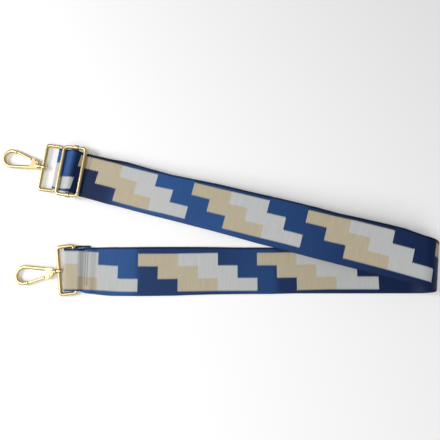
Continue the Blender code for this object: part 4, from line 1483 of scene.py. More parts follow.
@dataclass
class LowerLeg:
    """The lower leg: tail under it, pocket round the lower ring, and the flat leg to the fold."""

    cloth: Cloth
    draw_in: float = 0.0021
    tail_length: float = 0.0265
    tail_side_step: float = 0.0042
    side_step: float = 0.0006
    skew: float = math.radians(4)
    straight_run: float = 0.0060
    turn_run: float = 0.0040
    pocket_length: float = 0.0150
    pocket_fall: float = 0.0070
    tail_fall: float = 0.0085
    taper_run: float = 0.0366
    seams: tuple = (0.0224, 0.0248)
    wider_places: tuple = (
        -0.153, -0.147, -0.128, -0.107, -0.085, -0.050, -0.030, -0.010, 0.012, 0.060, 0.085)
    wider_plus: tuple = (0.0, 0.0009, 0.0006, 0.0003, 0.0006, 0.0007, 0.0007, 0.0006, 0.0002, 0.0, 0.0)
    wider_minus: tuple = (0.0, 0.0018, 0.0026, 0.0027, 0.0029, 0.0025, 0.0018, 0.0013, 0.0009, 0.0006, 0.0)

    def line(self) -> Array:
        """The leg's way from the tail's cut end round the ring's bar and on to the fold.

        Returns:
            Rows of (x, z, half width, side step, skew).
        """
        lay = self.cloth.layout
        bend = lay.lower_end + lay.loop_radius + lay.half
        high = lay.loop_radius + lay.half
        turn_start = bend + self.straight_run
        tail_end = lay.lower_end + self.tail_length
        level = (lay.lower_end + self.pocket_length, high + lay.loop_radius)
        sewn = (level[0] + self.pocket_fall, lay.thickness + lay.gap + lay.half)
        leave = (tail_end, sewn[1])
        landed = (tail_end + self.tail_fall, lay.half)
        round_bar = arc((bend, high), lay.loop_radius, -math.pi / 2, -3 * math.pi / 2)
        taper_end = (level[0] + self.taper_run, lay.half)
        start = [(tail_end, lay.half), (turn_start + self.turn_run, lay.half), (turn_start, lay.half)]
        path = np.vstack([start, round_bar, [level], eased(level, sewn), [leave], eased(leave, landed),
                          [taper_end], [(lay.fold_x, lay.half)]])
        x, tail = path[:, 0], np.arange(len(path)) < len(start) - 1
        top = np.arange(len(path)) >= len(start) + len(round_bar)
        share = np.where(top, np.clip((x - level[0]) / self.taper_run, 0, 1), 0)
        wide, narrow = lay.width / 2, lay.width / 2 - self.draw_in
        half = narrow + (wide - narrow) * share
        side = np.where(tail, self.tail_side_step, self.side_step * (1 - share))
        fade = np.clip((sewn[0] - x) / (sewn[0] - bend), 0, 1)
        skew = -math.tan(self.skew) * np.where(top, fade, 1.0)
        skew[0] = 0
        skew[-1] = math.tan(lay.half_angle)
        return np.column_stack([path, half, side, skew])

    def build(self) -> None:
        """Make the leg and its rows of thread."""
        lay = self.cloth.layout
        line = self.line()
        length = np.linalg.norm(np.diff(line[:, :2], axis=0), axis=1).sum()
        run = Run.planar(line, np.eye(4), lay.fold_x - length, self.cloth.spacing)
        run = run.widened(self.wider_places, self.wider_plus, self.wider_minus)
        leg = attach(self.cloth.make("webbing_leg_lower", run, Held.LAID), "strap_lower")
        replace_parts(leg, "webbing_lower_leg")
        for number, reach in enumerate(self.seams, 1):
            place = shift(lay.lower_end + reach, (self.tail_side_step + self.side_step) / 2, 0)
            seam = Seam(self.cloth, place, 2 * lay.thickness + 2 * lay.gap)
            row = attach(seam.make(f"thread_fixed_end_{number}"), "strap_lower")
            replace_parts(row, f"stitching_fixed_end_{number}")


@dataclass
class Seam:
    """A row of stitches through two layers: short arched lengths of thread, end to end."""

    cloth: Cloth
    place: Array
    top: float
    length: float = 0.0385
    pitch: float = 0.0028
    thread: float = 0.00034         # half its thickness
    bare: float = 0.06              # share of the pitch left free on either side of a stitch
    arch: float = 1.5               # rise of a stitch from its ends, in half thicknesses
    dip: float = 1.1                # how deep its ends lie under the top, in half thicknesses
    arch_power: float = 0.5
    end_share: float = 0.35         # thickness at its ends, where its middle has 1
    swell_power: float = 0.4
    points: int = 13
    corners: int = 10

    def make(self, name: str) -> bpy.types.Object:
        """Make the row.

        Args:
            name: of the piece.

        Returns:
            The object. A stitch is a circle carried along an arch. Its height is the top plus
            half the thickness times (arch * sine of the way to a power - dip), and its size
            grows by a sine to another power.
        """
        count = round(self.length / self.pitch)
        share = np.linspace(0, 1, self.points)
        sine = np.sin(math.pi * share)
        rise = self.top + self.thread * (self.arch * sine**self.arch_power - self.dip)
        size = self.thread * (self.end_share + (1 - self.end_share) * sine**self.swell_power)
        circle = superellipse(1.0, 1.0, 1.0, self.corners)
        shells = []
        for number in range(count):
            y = -self.length / 2 + self.pitch * (number + self.bare + (1 - 2 * self.bare) * share)
            path = np.column_stack([np.zeros_like(y), y, rise])
            side = np.broadcast_to([1.0, 0.0, 0.0], path.shape)
            up = np.cross(side, unit(np.gradient(path, axis=0)))
            shells.append(carried(path, side, up, size[:, None, None] * circle, False).placed(self.place))
        made = make_object(name, shells, self.cloth.finishes.thread)
        log.info("%s: %d stitches", name, count)
        return made


@dataclass
class Fold:
    """The soft fold, in stretches, one for each part of its turn."""

    cloth: Cloth

    def build(self) -> None:
        """Make the stretches, each baked in place."""
        lay = self.cloth.layout
        part = lay.fold_turn / lay.fold_parts
        radius = lay.fold_radius - lay.half
        rows = round(lay.fold_radius * part / self.cloth.spacing)
        for number in range(lay.fold_parts):
            angle = part * number + np.linspace(0, part, rows + 1)
            middle = lay.fold_middle(angle)
            centre = lay.fold_points(angle, radius, middle)
            outer = lay.fold_points(angle, radius + 1.0, middle) - centre
            half = lay.width / 2
            across = np.broadcast_to(lay.fold_axis * half / math.cos(lay.half_angle), centre.shape)
            along = lay.fold_x + lay.fold_radius * angle / math.cos(lay.half_angle)
            shear = np.full(len(angle), half * math.tan(lay.half_angle))
            run = Run(centre, across, outer, along, shear)
            piece = self.cloth.make(f"webbing_bend_{number + 1}", run, Held.FOLDED)
            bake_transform(piece)
            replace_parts(piece, f"webbing_fold_{number + 1}")


@dataclass
class UpperLeg:
    """The upper leg: the stretch by the fold, and the run that the slider takes up."""

    cloth: Cloth
    travel: float = 0.28
    taper_run: float = 0.034
    wave_height: float = 0.0004
    wave_sway: float = 0.0003
    wave_seed: float = 1.3
    wider_places: tuple = (
        0.000, 0.012, 0.020, 0.036, 0.068, 0.090, 0.112, 0.166, 0.187, 0.220, 0.241, 0.252, 0.274, 0.284,
        0.306, 0.328, 0.350, 0.370)
    wider_plus: tuple = (
        0.0, 0.0013, 0.0024, 0.0026, 0.0020, 0.0013, 0.0021, 0.0019, 0.0016, 0.0013, 0.0005, 0.0, -0.0009,
        -0.0006, 0.0001, 0.0010, 0.0004, 0.0010)
    wider_minus: tuple = (
        0.0, 0.0006, 0.0010, 0.0010, 0.0010, 0.0010, 0.0010, 0.0008, 0.0003, 0.0, 0.0, 0.0, 0.0, 0.0,
        0.0, 0.0, 0.0004, 0.0010)

    def widened(self, run: Run, start: float) -> Run:
        """A run with the leg's gains in width, whose places count from the fold.

        Args:
            run: a stretch of the leg.
            start: place along the strap where the leg leaves the fold.

        Returns:
            The wider run.
        """
        places = tuple(start + place for place in self.wider_places)
        return run.widened(places, self.wider_plus, self.wider_minus)

    def build(self) -> None:
        """Make both stretches: the leg by the fold, and the run that the slider takes up."""
        lay = self.cloth.layout
        frame = lay.leg_frame()
        start = lay.fold_x + lay.fold_length
        cut = -(lay.slider_run - lay.slider_spacing / 2 - lay.adjusting_run)
        wide, skew = lay.width / 2, -math.tan(lay.skew)
        near = np.array([(0, -lay.half, wide, 0, -math.tan(lay.half_angle)), (cut, -lay.half, wide, 0, skew)])
        end = -lay.taken_up
        taper = end + self.taper_run
        far = np.array([(cut, -lay.half, wide, 0, skew), (taper, -lay.half, wide, 0, 0),
                        (end, -lay.half, wide - lay.hump_draw_in, 0, 0)])
        still = self.widened(Run.planar(near, frame, start, self.cloth.spacing), start)
        leg = self.cloth.make("webbing_leg_upper", still, Held.LAID)
        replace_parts(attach(leg, "strap_upper"), "webbing_upper_leg")
        run = self.widened(Run.planar(far, frame, start - cut, self.cloth.spacing), start)
        run = run.drifted(self.wave_height, self.wave_sway, self.wave_seed)
        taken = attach(self.cloth.make("webbing_run", run, Held.LAID), "strap_upper")
        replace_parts(taken, "webbing_adjusting_run")
        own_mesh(taken)


@dataclass
class AdjusterWebbing:
    """Webbing in the slider: hump over its bar, link, loop round the ring and sewn return."""

    cloth: Cloth
    bar_play: float = 0.0012
    sewn_draw_in: float = 0.0020
    loop_lip: float = 0.0010
    sewn_stretch: float = 0.0125
    sewn_handover: float = 0.0125 / 3
    leave: float = math.radians(140)
    tail: float = 0.0055
    bend: float = 0.0010
    seam_margin: float = 0.00375
    hump_wider: float = 0.0010
    crest_wider: float = 0.0003
    link_lane: float = 0.6900

    def hump(self) -> tuple[Array, int]:
        """The webbing's way over the slider's bar.

        Returns:
            The path in the slider's x-z plane from right to left, and the number of its crest's row.
        """
        lay = self.cloth.layout
        right = (lay.slider_spacing / 2 - self.bar_play, lay.slider_height)
        left = (-lay.slider_spacing / 2 + self.bar_play, lay.slider_height)
        crest = (lay.bar_offset, lay.slider_height)
        over = lay.bar_loop_radius + lay.thickness + lay.gap
        climb = math.asin((lay.loop_radius + over) / (right[0] - crest[0]))
        fall = math.asin((lay.loop_radius + over) / (crest[0] - left[0]))
        quarter = math.pi / 2
        rising = arc(crest, over, quarter - climb, quarter)
        toe = (lay.slider_spacing / 2 + lay.slider_lead, lay.half)
        first = np.vstack([[toe], arc(right, lay.loop_radius, -quarter, -quarter - climb), rising])
        second = np.vstack([arc(crest, over, quarter, quarter + fall)[1:],
                            arc(left, lay.loop_radius, -quarter + fall, -quarter),
                            [(-lay.slider_spacing / 2, lay.half)]])
        return np.vstack([first, second]), len(first) - 1

    def return_line(self) -> tuple[Array, Array, float]:
        """The straight return layer, which touches the circles round ring and bar.

        Returns:
            Its ends by the ring and by the bar, and its slope.
        """
        lay = self.cloth.layout
        ring, bar = np.array([-lay.ring_run, -lay.ring_drop]), np.array([lay.bar_offset, lay.slider_height])
        run, rise = bar - ring
        closing = math.asin((lay.loop_radius - lay.bar_loop_radius) / math.hypot(run, rise))
        slope = math.atan2(rise, run) + closing
        down = np.array([math.sin(slope), -math.cos(slope)])
        return ring + lay.loop_radius * down, bar + lay.bar_loop_radius * down, slope

    def skewed(self, path: Array, first: float, last: float, start: float) -> Run:
        """A run across the turned slider.

        Args:
            path: places in the slider's x-z plane.
            first: half width at the first place.
            last: half width at the last place.
            start: place along the strap of the first one.

        Returns:
            The run; its side step is minus x times the tangent of the slider's turn. Past the
            slider's side its cross lines are square to the leg, as they are on the leg.
        """
        lay = self.cloth.layout
        half = np.linspace(first, last, len(path))
        side = -path[:, 0] * math.tan(lay.skew)
        square = np.where(path[:, 0] > lay.slider_spacing / 2, math.tan(lay.skew), 0)
        line = np.column_stack([path, half, side, square])
        return Run.planar(line, lay.slider_frame(), start, self.cloth.spacing / 2, lay.skew)

    def across(self, piece: bpy.types.Object, bodies: tuple[str, str], start: Array, end: Array) -> None:
        """Bake a piece's place into its mesh.

        Args:
            piece: the piece.
            bodies: the two bodies; not used.
            start: place in the slider's x-z plane where it leaves the first one; not used.
            end: place where it has joined the second one; not used.
        """
        frame = self.cloth.layout.slider_frame()
        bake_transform(piece)

    def build(self) -> None:
        """Make the stretches and the seam; the loop and the seam are tied to a body each."""
        lay = self.cloth.layout
        wide = lay.width / 2
        hump_half, loop_half = wide - lay.hump_draw_in, wide - lay.loop_draw_in
        sewn_half = wide - self.sewn_draw_in
        start = lay.fold_x + lay.fold_length + lay.taken_up
        path, crest = self.hump()
        middle_half = (hump_half + loop_half) / 2
        first = self.skewed(path[: crest + 1], hump_half, middle_half, start)
        second = self.skewed(path[crest:], middle_half, loop_half, float(first.along[-1]))
        ends = (second.along[0], second.along[-1])
        second = second.widened(ends, (self.hump_wider, 0.0), (self.crest_wider, 0.0))
        ends = (first.along[0], first.along[-1])
        first = first.widened(ends, (self.hump_wider, self.hump_wider), (self.hump_wider, self.crest_wider))
        rising = self.cloth.make("webbing_hump_rising", first)
        self.across(rising, ("slider", "slider_bar"), path[0], path[crest])
        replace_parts(rising, "webbing_hump")
        falling = self.cloth.make("webbing_hump_falling", second)
        self.across(falling, ("slider_bar", "slider"), path[crest], path[-1])
        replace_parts(falling, "webbing_hump")

        near, far, slope = self.return_line()
        back = np.array([-math.cos(slope), -math.sin(slope)])
        turn_in = np.array([-lay.ring_run + self.loop_lip, lay.half])
        lip = near - back * self.loop_lip
        link = self.skewed(np.array([path[-1], turn_in]), loop_half, loop_half, float(second.along[-1]))
        top = self.cloth.make("webbing_link", link, lane=self.link_lane)
        self.across(top, ("slider", "ring_loop"), path[-1], turn_in)
        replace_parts(top, "webbing_top_link")
        bend = arc((-lay.ring_run, -lay.ring_drop), lay.loop_radius, math.pi / 2, 3 * math.pi / 2 + slope)
        loop = self.skewed(np.vstack([turn_in, bend, lip]), loop_half, loop_half, float(link.along[-1]))
        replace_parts(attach(self.cloth.make("webbing_loop", loop), "ring_loop"), "webbing_ring_loop")
        joint = far + back * self.sewn_stretch
        under = self.skewed(np.array([lip, joint]), loop_half, sewn_half, float(loop.along[-1]))
        layer = self.cloth.make("webbing_return", under, lane=float(under.along[-1]))
        self.across(layer, ("ring_loop", "slider"), lip, joint)
        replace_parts(layer, "webbing_return_layer")
        self.build_sewn_end(joint, far, back, slope, sewn_half, float(under.along[-1]))

    def build_sewn_end(
        self, joint: Array, far: Array, back: Array, slope: float, half: float, start: float,
    ) -> None:
        """Make the end that goes up round the bar and back on itself, and its row of thread.

        Args:
            joint: where the return layer hands over.
            far: foot of the bar on the return layer.
            back: direction from the bar to the ring.
            slope: of the return layer.
            half: half width of the webbing.
            start: place along the strap at the joint.
        """
        lay = self.cloth.layout
        bar = np.array([lay.bar_offset, lay.slider_height])
        lift = (lay.thickness + lay.gap) * np.array([-math.sin(slope), math.cos(slope)])
        round_bar = arc(tuple(bar), lay.bar_loop_radius, slope - math.pi / 2, self.leave)
        heading = np.array([-math.sin(self.leave), math.cos(self.leave)])
        level = far + lift
        reach = np.linalg.solve(np.column_stack([heading, -back]), level - round_bar[-1])[0]
        corner = round_bar[-1] + heading * reach
        end = corner + back * self.tail
        fall = rounded([tuple(round_bar[-1]), tuple(corner), tuple(end)], [self.bend])[1:]
        sewn = self.skewed(np.vstack([joint, round_bar, fall]), half, half, start)
        piece = self.cloth.make("webbing_end", sewn)
        joined = joint - back * self.sewn_handover
        self.across(piece, ("slider", "slider_bar"), joint, joined)
        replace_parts(piece, "webbing_sewn_end")
        middle = corner + back * self.tail / 2
        foot = far + back * float((middle - far) @ back) - lift / (lay.thickness + lay.gap) * lay.half
        side_step = -foot[0] * math.tan(lay.skew)
        place = lay.slider_frame() @ shift(foot[0], side_step, foot[1]) @ turn(Axis.Y, -slope)
        seam = Seam(self.cloth, place, 2 * lay.thickness + 2 * lay.gap, length=2 * (half - self.seam_margin))
        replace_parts(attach(seam.make("thread_adjusting_end"), "slider_bar"), "stitching_adjusting_end")


# Hardware


@dataclass
class Slider:
    """The slider's wire frame and its loose middle bar with curled ends."""

    layout: Layout
    finishes: Finishes
    end_gap: float = 0.0021
    corner: float = 0.0040
    curl_wall: float = 0.0010
    curl_width: float = 0.0044
    curl_opening: float = math.radians(40)
    visible_wire: float = 0.0019
    rod_dimple: float = 0.0002      # radius of the flat that is left at the rod's ends
    rod_bevel: float = 0.0004
    curl_edge: float = 0.35         # power of the curls' section, the lower the sharper

    def build(self) -> None:
        """Make the frame and the bar."""
        lay = self.layout
        length = lay.width - 2 * lay.hump_draw_in + 2 * (self.end_gap + lay.wire)
        line = wire_rectangle(-lay.slider_spacing / 2, lay.slider_spacing / 2, length, self.corner)
        wire = superellipse(self.visible_wire, self.visible_wire, 1.0, WIRE_CORNERS)
        place = lay.slider_frame() @ shift(0, lay.slider_side_step, lay.slider_height)
        frame = make_object("slider_wire", [flat_bar(line, wire, True).placed(place)], self.finishes.gold)
        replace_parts(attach(frame, "slider"), "slider_frame")

        bar_place = place @ shift(lay.bar_offset, 0, 0)
        curl = lay.wire + lay.gap + self.curl_wall / 2
        reach = length / 2 - curl
        profile = [(-reach, self.rod_dimple), (-reach, lay.bar_radius),
                   (reach, lay.bar_radius), (reach, self.rod_dimple)]
        rod = softened(profile, self.rod_bevel)
        shells = [turned(rod, BAR_CORNERS).placed(bar_place @ turn(Axis.Z, math.pi / 2))]
        strap = superellipse(self.curl_width / 2, self.curl_wall / 2, self.curl_edge, CURL_CORNERS)
        for side in (1, -1):
            first = math.pi / 2 * (1 - side) + math.pi + side * self.curl_opening / 2
            ring = arc((side * length / 2, 0), curl, first, first + side * (2 * math.pi - self.curl_opening))
            path = np.column_stack([np.zeros(len(ring)), ring])
            out = unit(path - np.array([0, side * length / 2, 0]))
            along_x = np.broadcast_to([1.0, 0.0, 0.0], path.shape)
            shells.append(carried(path, along_x, out, strap, False).placed(bar_place))
        bar = make_object("slider_middle_bar", shells, self.finishes.gold)
        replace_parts(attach(bar, "slider_bar"), "slider_bar")
        log.info("slider: %.1f mm long", length * 1000)


def wire_rectangle(low: float, high: float, length: float, corner: float) -> Array:
    """A closed rounded rectangle, with its long sides at two places along x.

    Args:
        low: place of one long side.
        high: place of the other.
        length: distance between the short sides.
        corner: radius of the four bends.

    Returns:
        Array of points, more of them in the bends and every few millimetres on the sides.
    """
    half = length / 2
    quarter = math.pi / 2
    parts = [
        arc((high - corner, half - corner), corner, quarter, 0),
        arc((high - corner, corner - half), corner, 0, -quarter),
        arc((low + corner, corner - half), corner, -quarter, -2 * quarter),
        arc((low + corner, half - corner), corner, 2 * quarter, quarter),
    ]
    line = np.vstack(parts + [parts[0][:1]])
    steps = np.linalg.norm(np.diff(line, axis=0), axis=1)
    walked = np.concatenate([[0], np.cumsum(steps)])
    filled = [np.linspace(walked[i], walked[i + 1], max(2, math.ceil(steps[i] / WIRE_STEP) + 1))[:-1]
              for i in range(len(steps)) if steps[i] > SAME]
    even = np.concatenate(filled)
    return np.column_stack([np.interp(even, walked, column) for column in line.T])


@dataclass
class HookEnd:
    """A ring, and the swivel snap hook in it; the hook leans a little in its wide bore."""

    layout: Layout
    finishes: Finishes
    end: End
    lean: float
    swivel: float
    end_gap: float = 0.0007
    corner: float = 0.0028
    boss_radius: float = 0.0031
    boss_length: float = 0.0044
    swivel_gap: float = 0.0005
    post_radius: float = 0.0013
    post_length: float = 0.0075
    head_radius: float = 0.0024
    head_height: float = 0.0013
    inner_wire: float = 0.0019
    outer_wire: float = 0.0021
    wire_change: float = 0.0050
    bar_width: float = 0.0040
    bar_depth: float = 0.0042
    neck_radius: float = 0.0032
    neck_end: float = 0.0085
    spine_start: tuple = (0.0070, -0.0021)
    spine_y: float = -0.0095
    spine_bend: float = 0.0092
    nose_y: float = 0.0114
    nose_bend: float = 0.0084
    nose_end: tuple = (0.0338, 0.0099)
    yoke_back: float = 0.0055
    yoke_front: float = 0.0140
    yoke_back_half: float = 0.0035
    yoke_low: float = -0.0052
    yoke_high: float = 0.0076
    slot_width: float = 0.0026
    slot_back: float = 0.0078
    slot_floor: float = -0.0010
    pin_place: tuple = (0.0107, 0.0046)
    pin_radius: float = 0.00075
    pin_head_radius: float = 0.00125
    pin_head_height: float = 0.0004
    gate_width: float = 0.0031
    gate_depth: float = 0.0040
    gate_tail: float = 0.0023
    gate_start: float = 0.0155
    gate_end: tuple = (0.0331, 0.0100)
    spring: float = 0.0004
    spring_depth: float = 0.0017
    spring_bend: float = 0.0006
    boss_edge: float = 0.4          # powers of the sections, the lower the sharper
    bar_edge: float = 0.8
    gate_edge: float = 0.7
    spring_edge: float = 0.4
    bar_spacing: float = 0.0007     # between the points of the bar
    spring_spacing: float = 0.0002
    neck_taper: float = 0.0002      # how much thinner the neck is by the ring
    neck_dimple: float = 0.0004     # radius of the flat that is left at its ends
    neck_bevel: float = 0.0005
    web_low: float = 0.79           # depth of the yoke's web, as a share of the cheeks'
    web_rise: float = 0.0016        # how much higher it is than the yoke's back
    floor_set_in: float = 0.0010    # of the slot's floor from the yoke's back
    head_top: float = 0.35          # angle at which the rivet's dome ends, in radians
    head_start: float = 0.05        # angle left open at the dome's middle
    head_points: int = 9
    pin_stand_off: float = 0.00005  # of the pin's heads from the yoke
    pin_dimple: float = 0.0001
    pin_bevel: float = 0.00012
    tail_share: float = 0.6         # width of the gate's tail where it leaves the bar
    gate_points: int = 40
    body_voxel: float = 0.00022     # grids that join the shells of the castings
    gate_voxel: float = 0.00018

    def hook_frame(self) -> Array:
        """Frame of the hook: x to its tip, y to its gate."""
        ring = self.layout.ring_frame(self.end) @ shift(self.layout.ring_spacing, 0, 0)
        return ring @ turn(Axis.Z, -self.lean) @ turn(Axis.X, self.swivel)

    def pin_frame(self) -> Array:
        """Frame of the gate's pin, whose x axis runs through the hook's depth."""
        return self.hook_frame() @ shift(*self.pin_place, 0) @ turn(Axis.Y, -math.pi / 2)

    def gate_angle(self) -> float:
        """Slope of the closed gate."""
        return math.atan2(self.gate_end[1] - self.pin_place[1], self.gate_end[0] - self.pin_place[0])

    def keep(self, made: bpy.types.Object, body: str, node: str) -> None:
        """Tie a piece to its body and the node that it stands for.

        Args:
            made: the piece.
            body: name of the body without the end's own.
            node: name of the node without the end's own.
        """
        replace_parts(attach(made, f"{body}_{self.end.value}"), f"{node}_{self.end.value}")
        log.info("%s: %d faces", made.name, len(made.data.polygons))

    def build(self) -> None:
        """Make the ring and every piece of the hook."""
        self.build_ring()
        self.build_body()
        self.build_swivel()
        self.build_gate()
        self.build_spring()

    def build_ring(self) -> None:
        """Make the ring's wire and the bored barrel on its outer bar."""
        lay = self.layout
        length = lay.width - 2 * lay.loop_draw_in + 2 * (self.end_gap + lay.wire)
        line = wire_rectangle(0, lay.ring_spacing, length, self.corner)
        boss = barrel(self.boss_radius, self.post_radius + lay.gap, self.boss_length, self.boss_edge)
        place = lay.ring_frame(self.end)
        line = self.open_at_boss(line)
        share = np.clip(line[:, 0] / self.wire_change, 0, 1)
        radius = self.inner_wire + (self.outer_wire - self.inner_wire) * share
        wire = superellipse(1.0, 1.0, 1.0, WIRE_CORNERS) * radius[:, None, None]
        shells = [flat_bar(line, wire).placed(place),
                  boss.placed(place @ shift(lay.ring_spacing, 0, 0))]
        ring = make_object(f"wire_ring_{self.end.value}", shells, self.finishes.gold)
        self.keep(ring, "ring", "ring")

    def open_at_boss(self, line: Array) -> Array:
        """Open the ring's line at the barrel.

        Args:
            line: the closed line.

        Returns:
            An open one that starts and ends inside the barrel's wall.
        """
        wall = (self.boss_radius + self.post_radius + self.layout.gap) / 2
        far = self.layout.ring_spacing
        inside = (np.abs(line[:, 0] - far) < SAME) & (np.abs(line[:, 1]) < wall)
        first = int(np.argmax(inside))
        rest = np.roll(line, -first, axis=0)
        rest = rest[~np.roll(inside, -first)]
        turn_over = int(np.argmax((rest[:, 1] < 0) & (np.abs(rest[:, 0] - far) < SAME)))
        rest = np.roll(rest, -turn_over, axis=0) if rest[0, 1] > 0 else rest
        return np.vstack([(far, -wall), rest, (far, wall)])

    def build_body(self) -> None:
        """Make the hook's casting: neck, yoke with its slot, and the bar round the eye."""
        corners = [self.spine_start, (self.layout.hook_tip, self.spine_y),
                   (self.layout.hook_tip, self.nose_y), self.nose_end]
        line = spread(rounded(corners, [self.spine_bend, self.nose_bend]), self.bar_spacing)[0]
        bar = flat_bar(line, superellipse(self.bar_width / 2, self.bar_depth / 2, self.bar_edge, BAR_CORNERS))
        start = self.boss_length / 2 + self.swivel_gap
        profile = [(start, self.neck_dimple), (start, self.neck_radius - self.neck_taper),
                   (self.neck_end, self.neck_radius), (self.neck_end, self.neck_dimple)]
        neck = turned(softened(profile, self.neck_bevel))
        deep, slot = self.layout.yoke_depth / 2, self.slot_width / 2
        cheek = np.array([(self.yoke_back, -self.yoke_back_half), (self.yoke_front, self.yoke_low),
                          (self.yoke_front, self.yoke_high), (self.pin_place[0], self.yoke_high),
                          (self.yoke_back, self.yoke_back_half)])
        back = np.array([(self.yoke_back, -self.yoke_back_half),
                         (self.slot_back, self.yoke_low * self.web_low),
                         (self.slot_back, self.yoke_back_half + self.web_rise),
                         (self.yoke_back, self.yoke_back_half)])
        floor_back = self.yoke_back + self.floor_set_in
        floor = np.array([(floor_back, -self.yoke_back_half), (self.yoke_front, self.yoke_low),
                          (self.yoke_front, self.slot_floor), (floor_back, self.slot_floor)])
        shells = [bar, neck, slab(cheek, slot, deep), slab(cheek, -deep, -slot), slab(back, -deep, deep),
                  slab(floor, -deep, deep)]
        frame = self.hook_frame()
        body = cast(f"hook_casting_{self.end.value}", [shell.placed(frame) for shell in shells],
                    self.finishes.gold, self.body_voxel)
        self.keep(body, "hook", "hook_body")

    def build_swivel(self) -> None:
        """Make the swivel's rivet and the gate's pin, both turned."""
        seat = -self.boss_length / 2 - self.swivel_gap
        rise = np.sin(np.linspace(math.pi / 2, self.head_top, self.head_points))
        reach = np.cos(np.linspace(math.pi / 2 - self.head_start, 0, self.head_points))
        crown = np.column_stack([seat - self.head_height * rise, self.head_radius * reach])
        rest = np.array([(seat, self.head_radius), (seat, self.post_radius),
                         (self.post_length, self.post_radius)])
        shell = turned(np.vstack([crown, rest])).placed(self.hook_frame())
        rivet = make_object(f"rivet_{self.end.value}", [shell], self.finishes.gold)
        self.keep(rivet, "hook", "swivel_rivet")
        cheek = self.layout.yoke_depth / 2 + self.pin_stand_off
        outer = cheek + self.pin_head_height + self.layout.gap
        head, rod = self.pin_head_radius, self.pin_radius
        line = [(-outer, self.pin_dimple), (-outer, head), (-cheek, head), (-cheek, rod),
                (cheek, rod), (cheek, head), (outer, head), (outer, self.pin_dimple)]
        shell = turned(softened(line, self.pin_bevel), WIRE_CORNERS).placed(self.pin_frame())
        pin = make_object(f"pin_{self.end.value}", [shell], self.finishes.gold)
        self.keep(pin, "hook", "gate_pin")

    def build_gate(self) -> None:
        """Make the gate: a rounded bar that starts in a flat tail round the pin."""
        length = math.hypot(self.gate_end[0] - self.pin_place[0], self.gate_end[1] - self.pin_place[1])
        start = (self.gate_start - self.pin_place[0]) / math.cos(self.gate_angle())
        places = np.linspace(start, length, self.gate_points)
        line = np.column_stack([places, np.zeros(self.gate_points)])
        half = self.gate_width / 2
        bar = flat_bar(line, superellipse(half, self.gate_depth / 2, self.gate_edge, WIRE_CORNERS))
        narrow = half * self.tail_share
        round_pin = arc((0, 0), self.gate_tail, math.pi / 2, 3 * math.pi / 2)
        tail = np.vstack([[(start + half, -narrow), (start + half, narrow)], round_pin])
        depth = self.slot_width / 2 - self.layout.gap
        frame = self.hook_frame() @ shift(*self.pin_place, 0) @ turn(Axis.Z, self.gate_angle())
        shells = [bar.placed(frame), slab(tail, -depth, depth).placed(frame)]
        gate = cast(f"gate_{self.end.value}", shells, self.finishes.gold, self.gate_voxel)
        self.keep(gate, "gate", "hook_gate")

    def build_spring(self) -> None:
        """Make the leaf spring: it lies in the slot and bends up under the gate."""
        lay, half = self.layout, self.spring / 2
        floor = self.slot_floor + lay.gap + half
        slope = self.gate_angle()
        middle = self.pin_place[1] + (self.yoke_front - self.pin_place[0]) * math.tan(slope)
        under = middle - self.gate_tail / math.cos(slope) - lay.gap - 2 * half
        corners = [(self.yoke_front - lay.gap, floor), (self.slot_back + lay.gap + half, floor),
                   (self.yoke_front, under)]
        line = spread(rounded(corners, [self.spring_bend]), self.spring_spacing)[0]
        leaf = flat_bar(line, superellipse(half, self.spring_depth / 2, self.spring_edge, LEAF_CORNERS))
        frame = self.hook_frame()
        spring = make_object(f"leaf_spring_{self.end.value}", [leaf.placed(frame)], self.finishes.steel)
        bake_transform(spring)
        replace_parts(spring, f"gate_spring_{self.end.value}")


# Studio


@dataclass(frozen=True)
class Lamp:
    """A square lamp aimed at the strap's middle."""

    name: str
    place: tuple
    size: float
    power: float

    def build(self) -> None:
        """Make the lamp: its z axis points from the middle to its place."""
        data = bpy.data.lights.new(self.name, "AREA")
        data.size = self.size
        data.energy = self.power
        lamp = bpy.data.objects.new(self.name, data)
        matrix = np.eye(4)
        z_axis = unit(np.array(self.place))
        x_axis = unit(np.cross([0.0, 1.0, 0.0], z_axis))
        matrix[:3, :3] = np.column_stack([x_axis, np.cross(z_axis, x_axis), z_axis])
        matrix[:3, 3] = self.place
        lamp.matrix_world = Matrix(matrix)
        bpy.context.collection.objects.link(lamp)


LAMPS = (
    Lamp("overhead", (-0.10, -0.65, 1.2), 1.0, 7.3),
    Lamp("left", (-1.0, 0.05, 1.1), 0.5, 9.0),
    Lamp("low left", (-1.2, 0.3, 0.48), 0.3, 4.0),
)


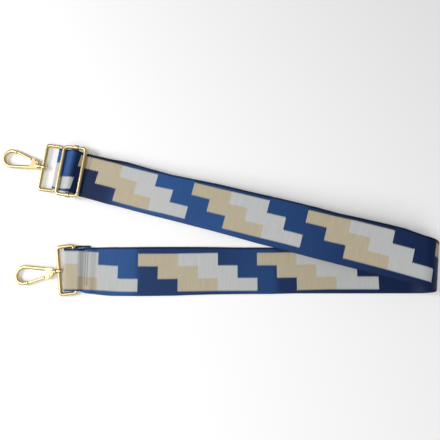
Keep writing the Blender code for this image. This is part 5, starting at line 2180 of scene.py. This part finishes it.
@dataclass
class Studio:
    """Camera, floor and soft light."""

    camera_place: tuple = (0.0, -0.01597, 0.45434)
    camera_tilt: float = math.radians(9)
    lens: float = 33.56             # in millimetres, like the sensor
    sensor: float = 36.0
    clip_start: float = 0.01
    floor_size: float = 6.0
    floor_roughness: float = 0.9
    floor_glow: float = 0.1
    light: float = 0.22             # of the surrounding light
    seen_light: float = 1.4         # what the camera sees of it
    horizon: Colour = (0.50, 0.50, 0.51, 1.0)
    bright_above: float = 0.75      # sine of the height from which it is white

    def build(self, floor_level: float) -> None:
        """Make the camera, the floor, the lamps and the surrounding light.

        Args:
            floor_level: height of the surface that the strap lies on.
        """
        scene = bpy.context.scene
        data = bpy.data.cameras.new("camera")
        data.lens = self.lens
        data.sensor_width = self.sensor
        data.clip_start = self.clip_start
        camera = bpy.data.objects.new("camera", data)
        camera.location = self.camera_place
        camera.rotation_euler = (self.camera_tilt, 0, 0)
        scene.collection.objects.link(camera)
        scene.camera = camera
        scene.view_settings.view_transform = "Standard"
        self.build_floor(floor_level)
        for lamp in LAMPS:
            lamp.build()
        self.surround(scene)

    def build_floor(self, level: float) -> None:
        """Make the plain white floor.

        Args:
            level: its height.
        """
        half = self.floor_size / 2
        mesh = bpy.data.meshes.new("floor")
        corners = [(-half, -half, level), (half, -half, level), (half, half, level), (-half, half, level)]
        mesh.from_pydata(corners, [], [(0, 1, 2, 3)])
        made, _, shader = new_material("floor")
        shader.inputs["Base Color"].default_value = WHITE
        shader.inputs["Roughness"].default_value = self.floor_roughness
        shader.inputs["Emission Color"].default_value = WHITE
        shader.inputs["Emission Strength"].default_value = self.floor_glow
        mesh.materials.append(made)
        floor = bpy.data.objects.new("floor", mesh)
        bpy.context.collection.objects.link(floor)
        floor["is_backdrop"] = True

    def surround(self, scene: bpy.types.Scene) -> None:
        """Light from all round, whose strength isn't the one that the camera sees behind the strap.

        Args:
            scene: the scene.
        """
        world = bpy.data.worlds.new("surround")
        world.use_nodes = True
        tree = Tree(world.node_tree)
        _, _, up = tree.parts(tree.add("ShaderNodeTexCoord").outputs["Generated"])
        ramp = tree.add("ShaderNodeValToRGB")
        low, high = ramp.color_ramp.elements
        low.position, high.position = 0.0, self.bright_above
        low.color, high.color = self.horizon, WHITE
        tree.feed(ramp.inputs[0], up)
        back = world.node_tree.nodes["Background"]
        tree.feed(back.inputs["Color"], ramp.outputs[0])
        seen = tree.add("ShaderNodeLightPath").outputs["Is Camera Ray"]
        strength = tree.math("MULTIPLY_ADD", seen, self.seen_light - self.light, self.light)
        tree.feed(back.inputs["Strength"], strength)
        scene.world = world


def main() -> None:
    """Build the strap's looks round its frame."""
    logging.basicConfig(level=logging.INFO, format="%(message)s")
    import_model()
    low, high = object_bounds()
    layout = Layout()
    finishes = Finishes.build()
    cloth = Cloth(layout, finishes)
    parts = [
        LowerLeg(cloth),
        Fold(cloth),
        UpperLeg(cloth),
        AdjusterWebbing(cloth),
        Slider(layout, finishes),
        HookEnd(layout, finishes, End.ADJUSTING, lean=math.radians(5.5), swivel=math.pi),
        HookEnd(layout, finishes, End.FIXED, lean=math.radians(2.5), swivel=0.0),
    ]
    for part in parts:
        part.build()
        log.info("%s is built", type(part).__name__)
    Studio().build(low[2])
    low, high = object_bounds()


if __name__ == "__main__":
    main()
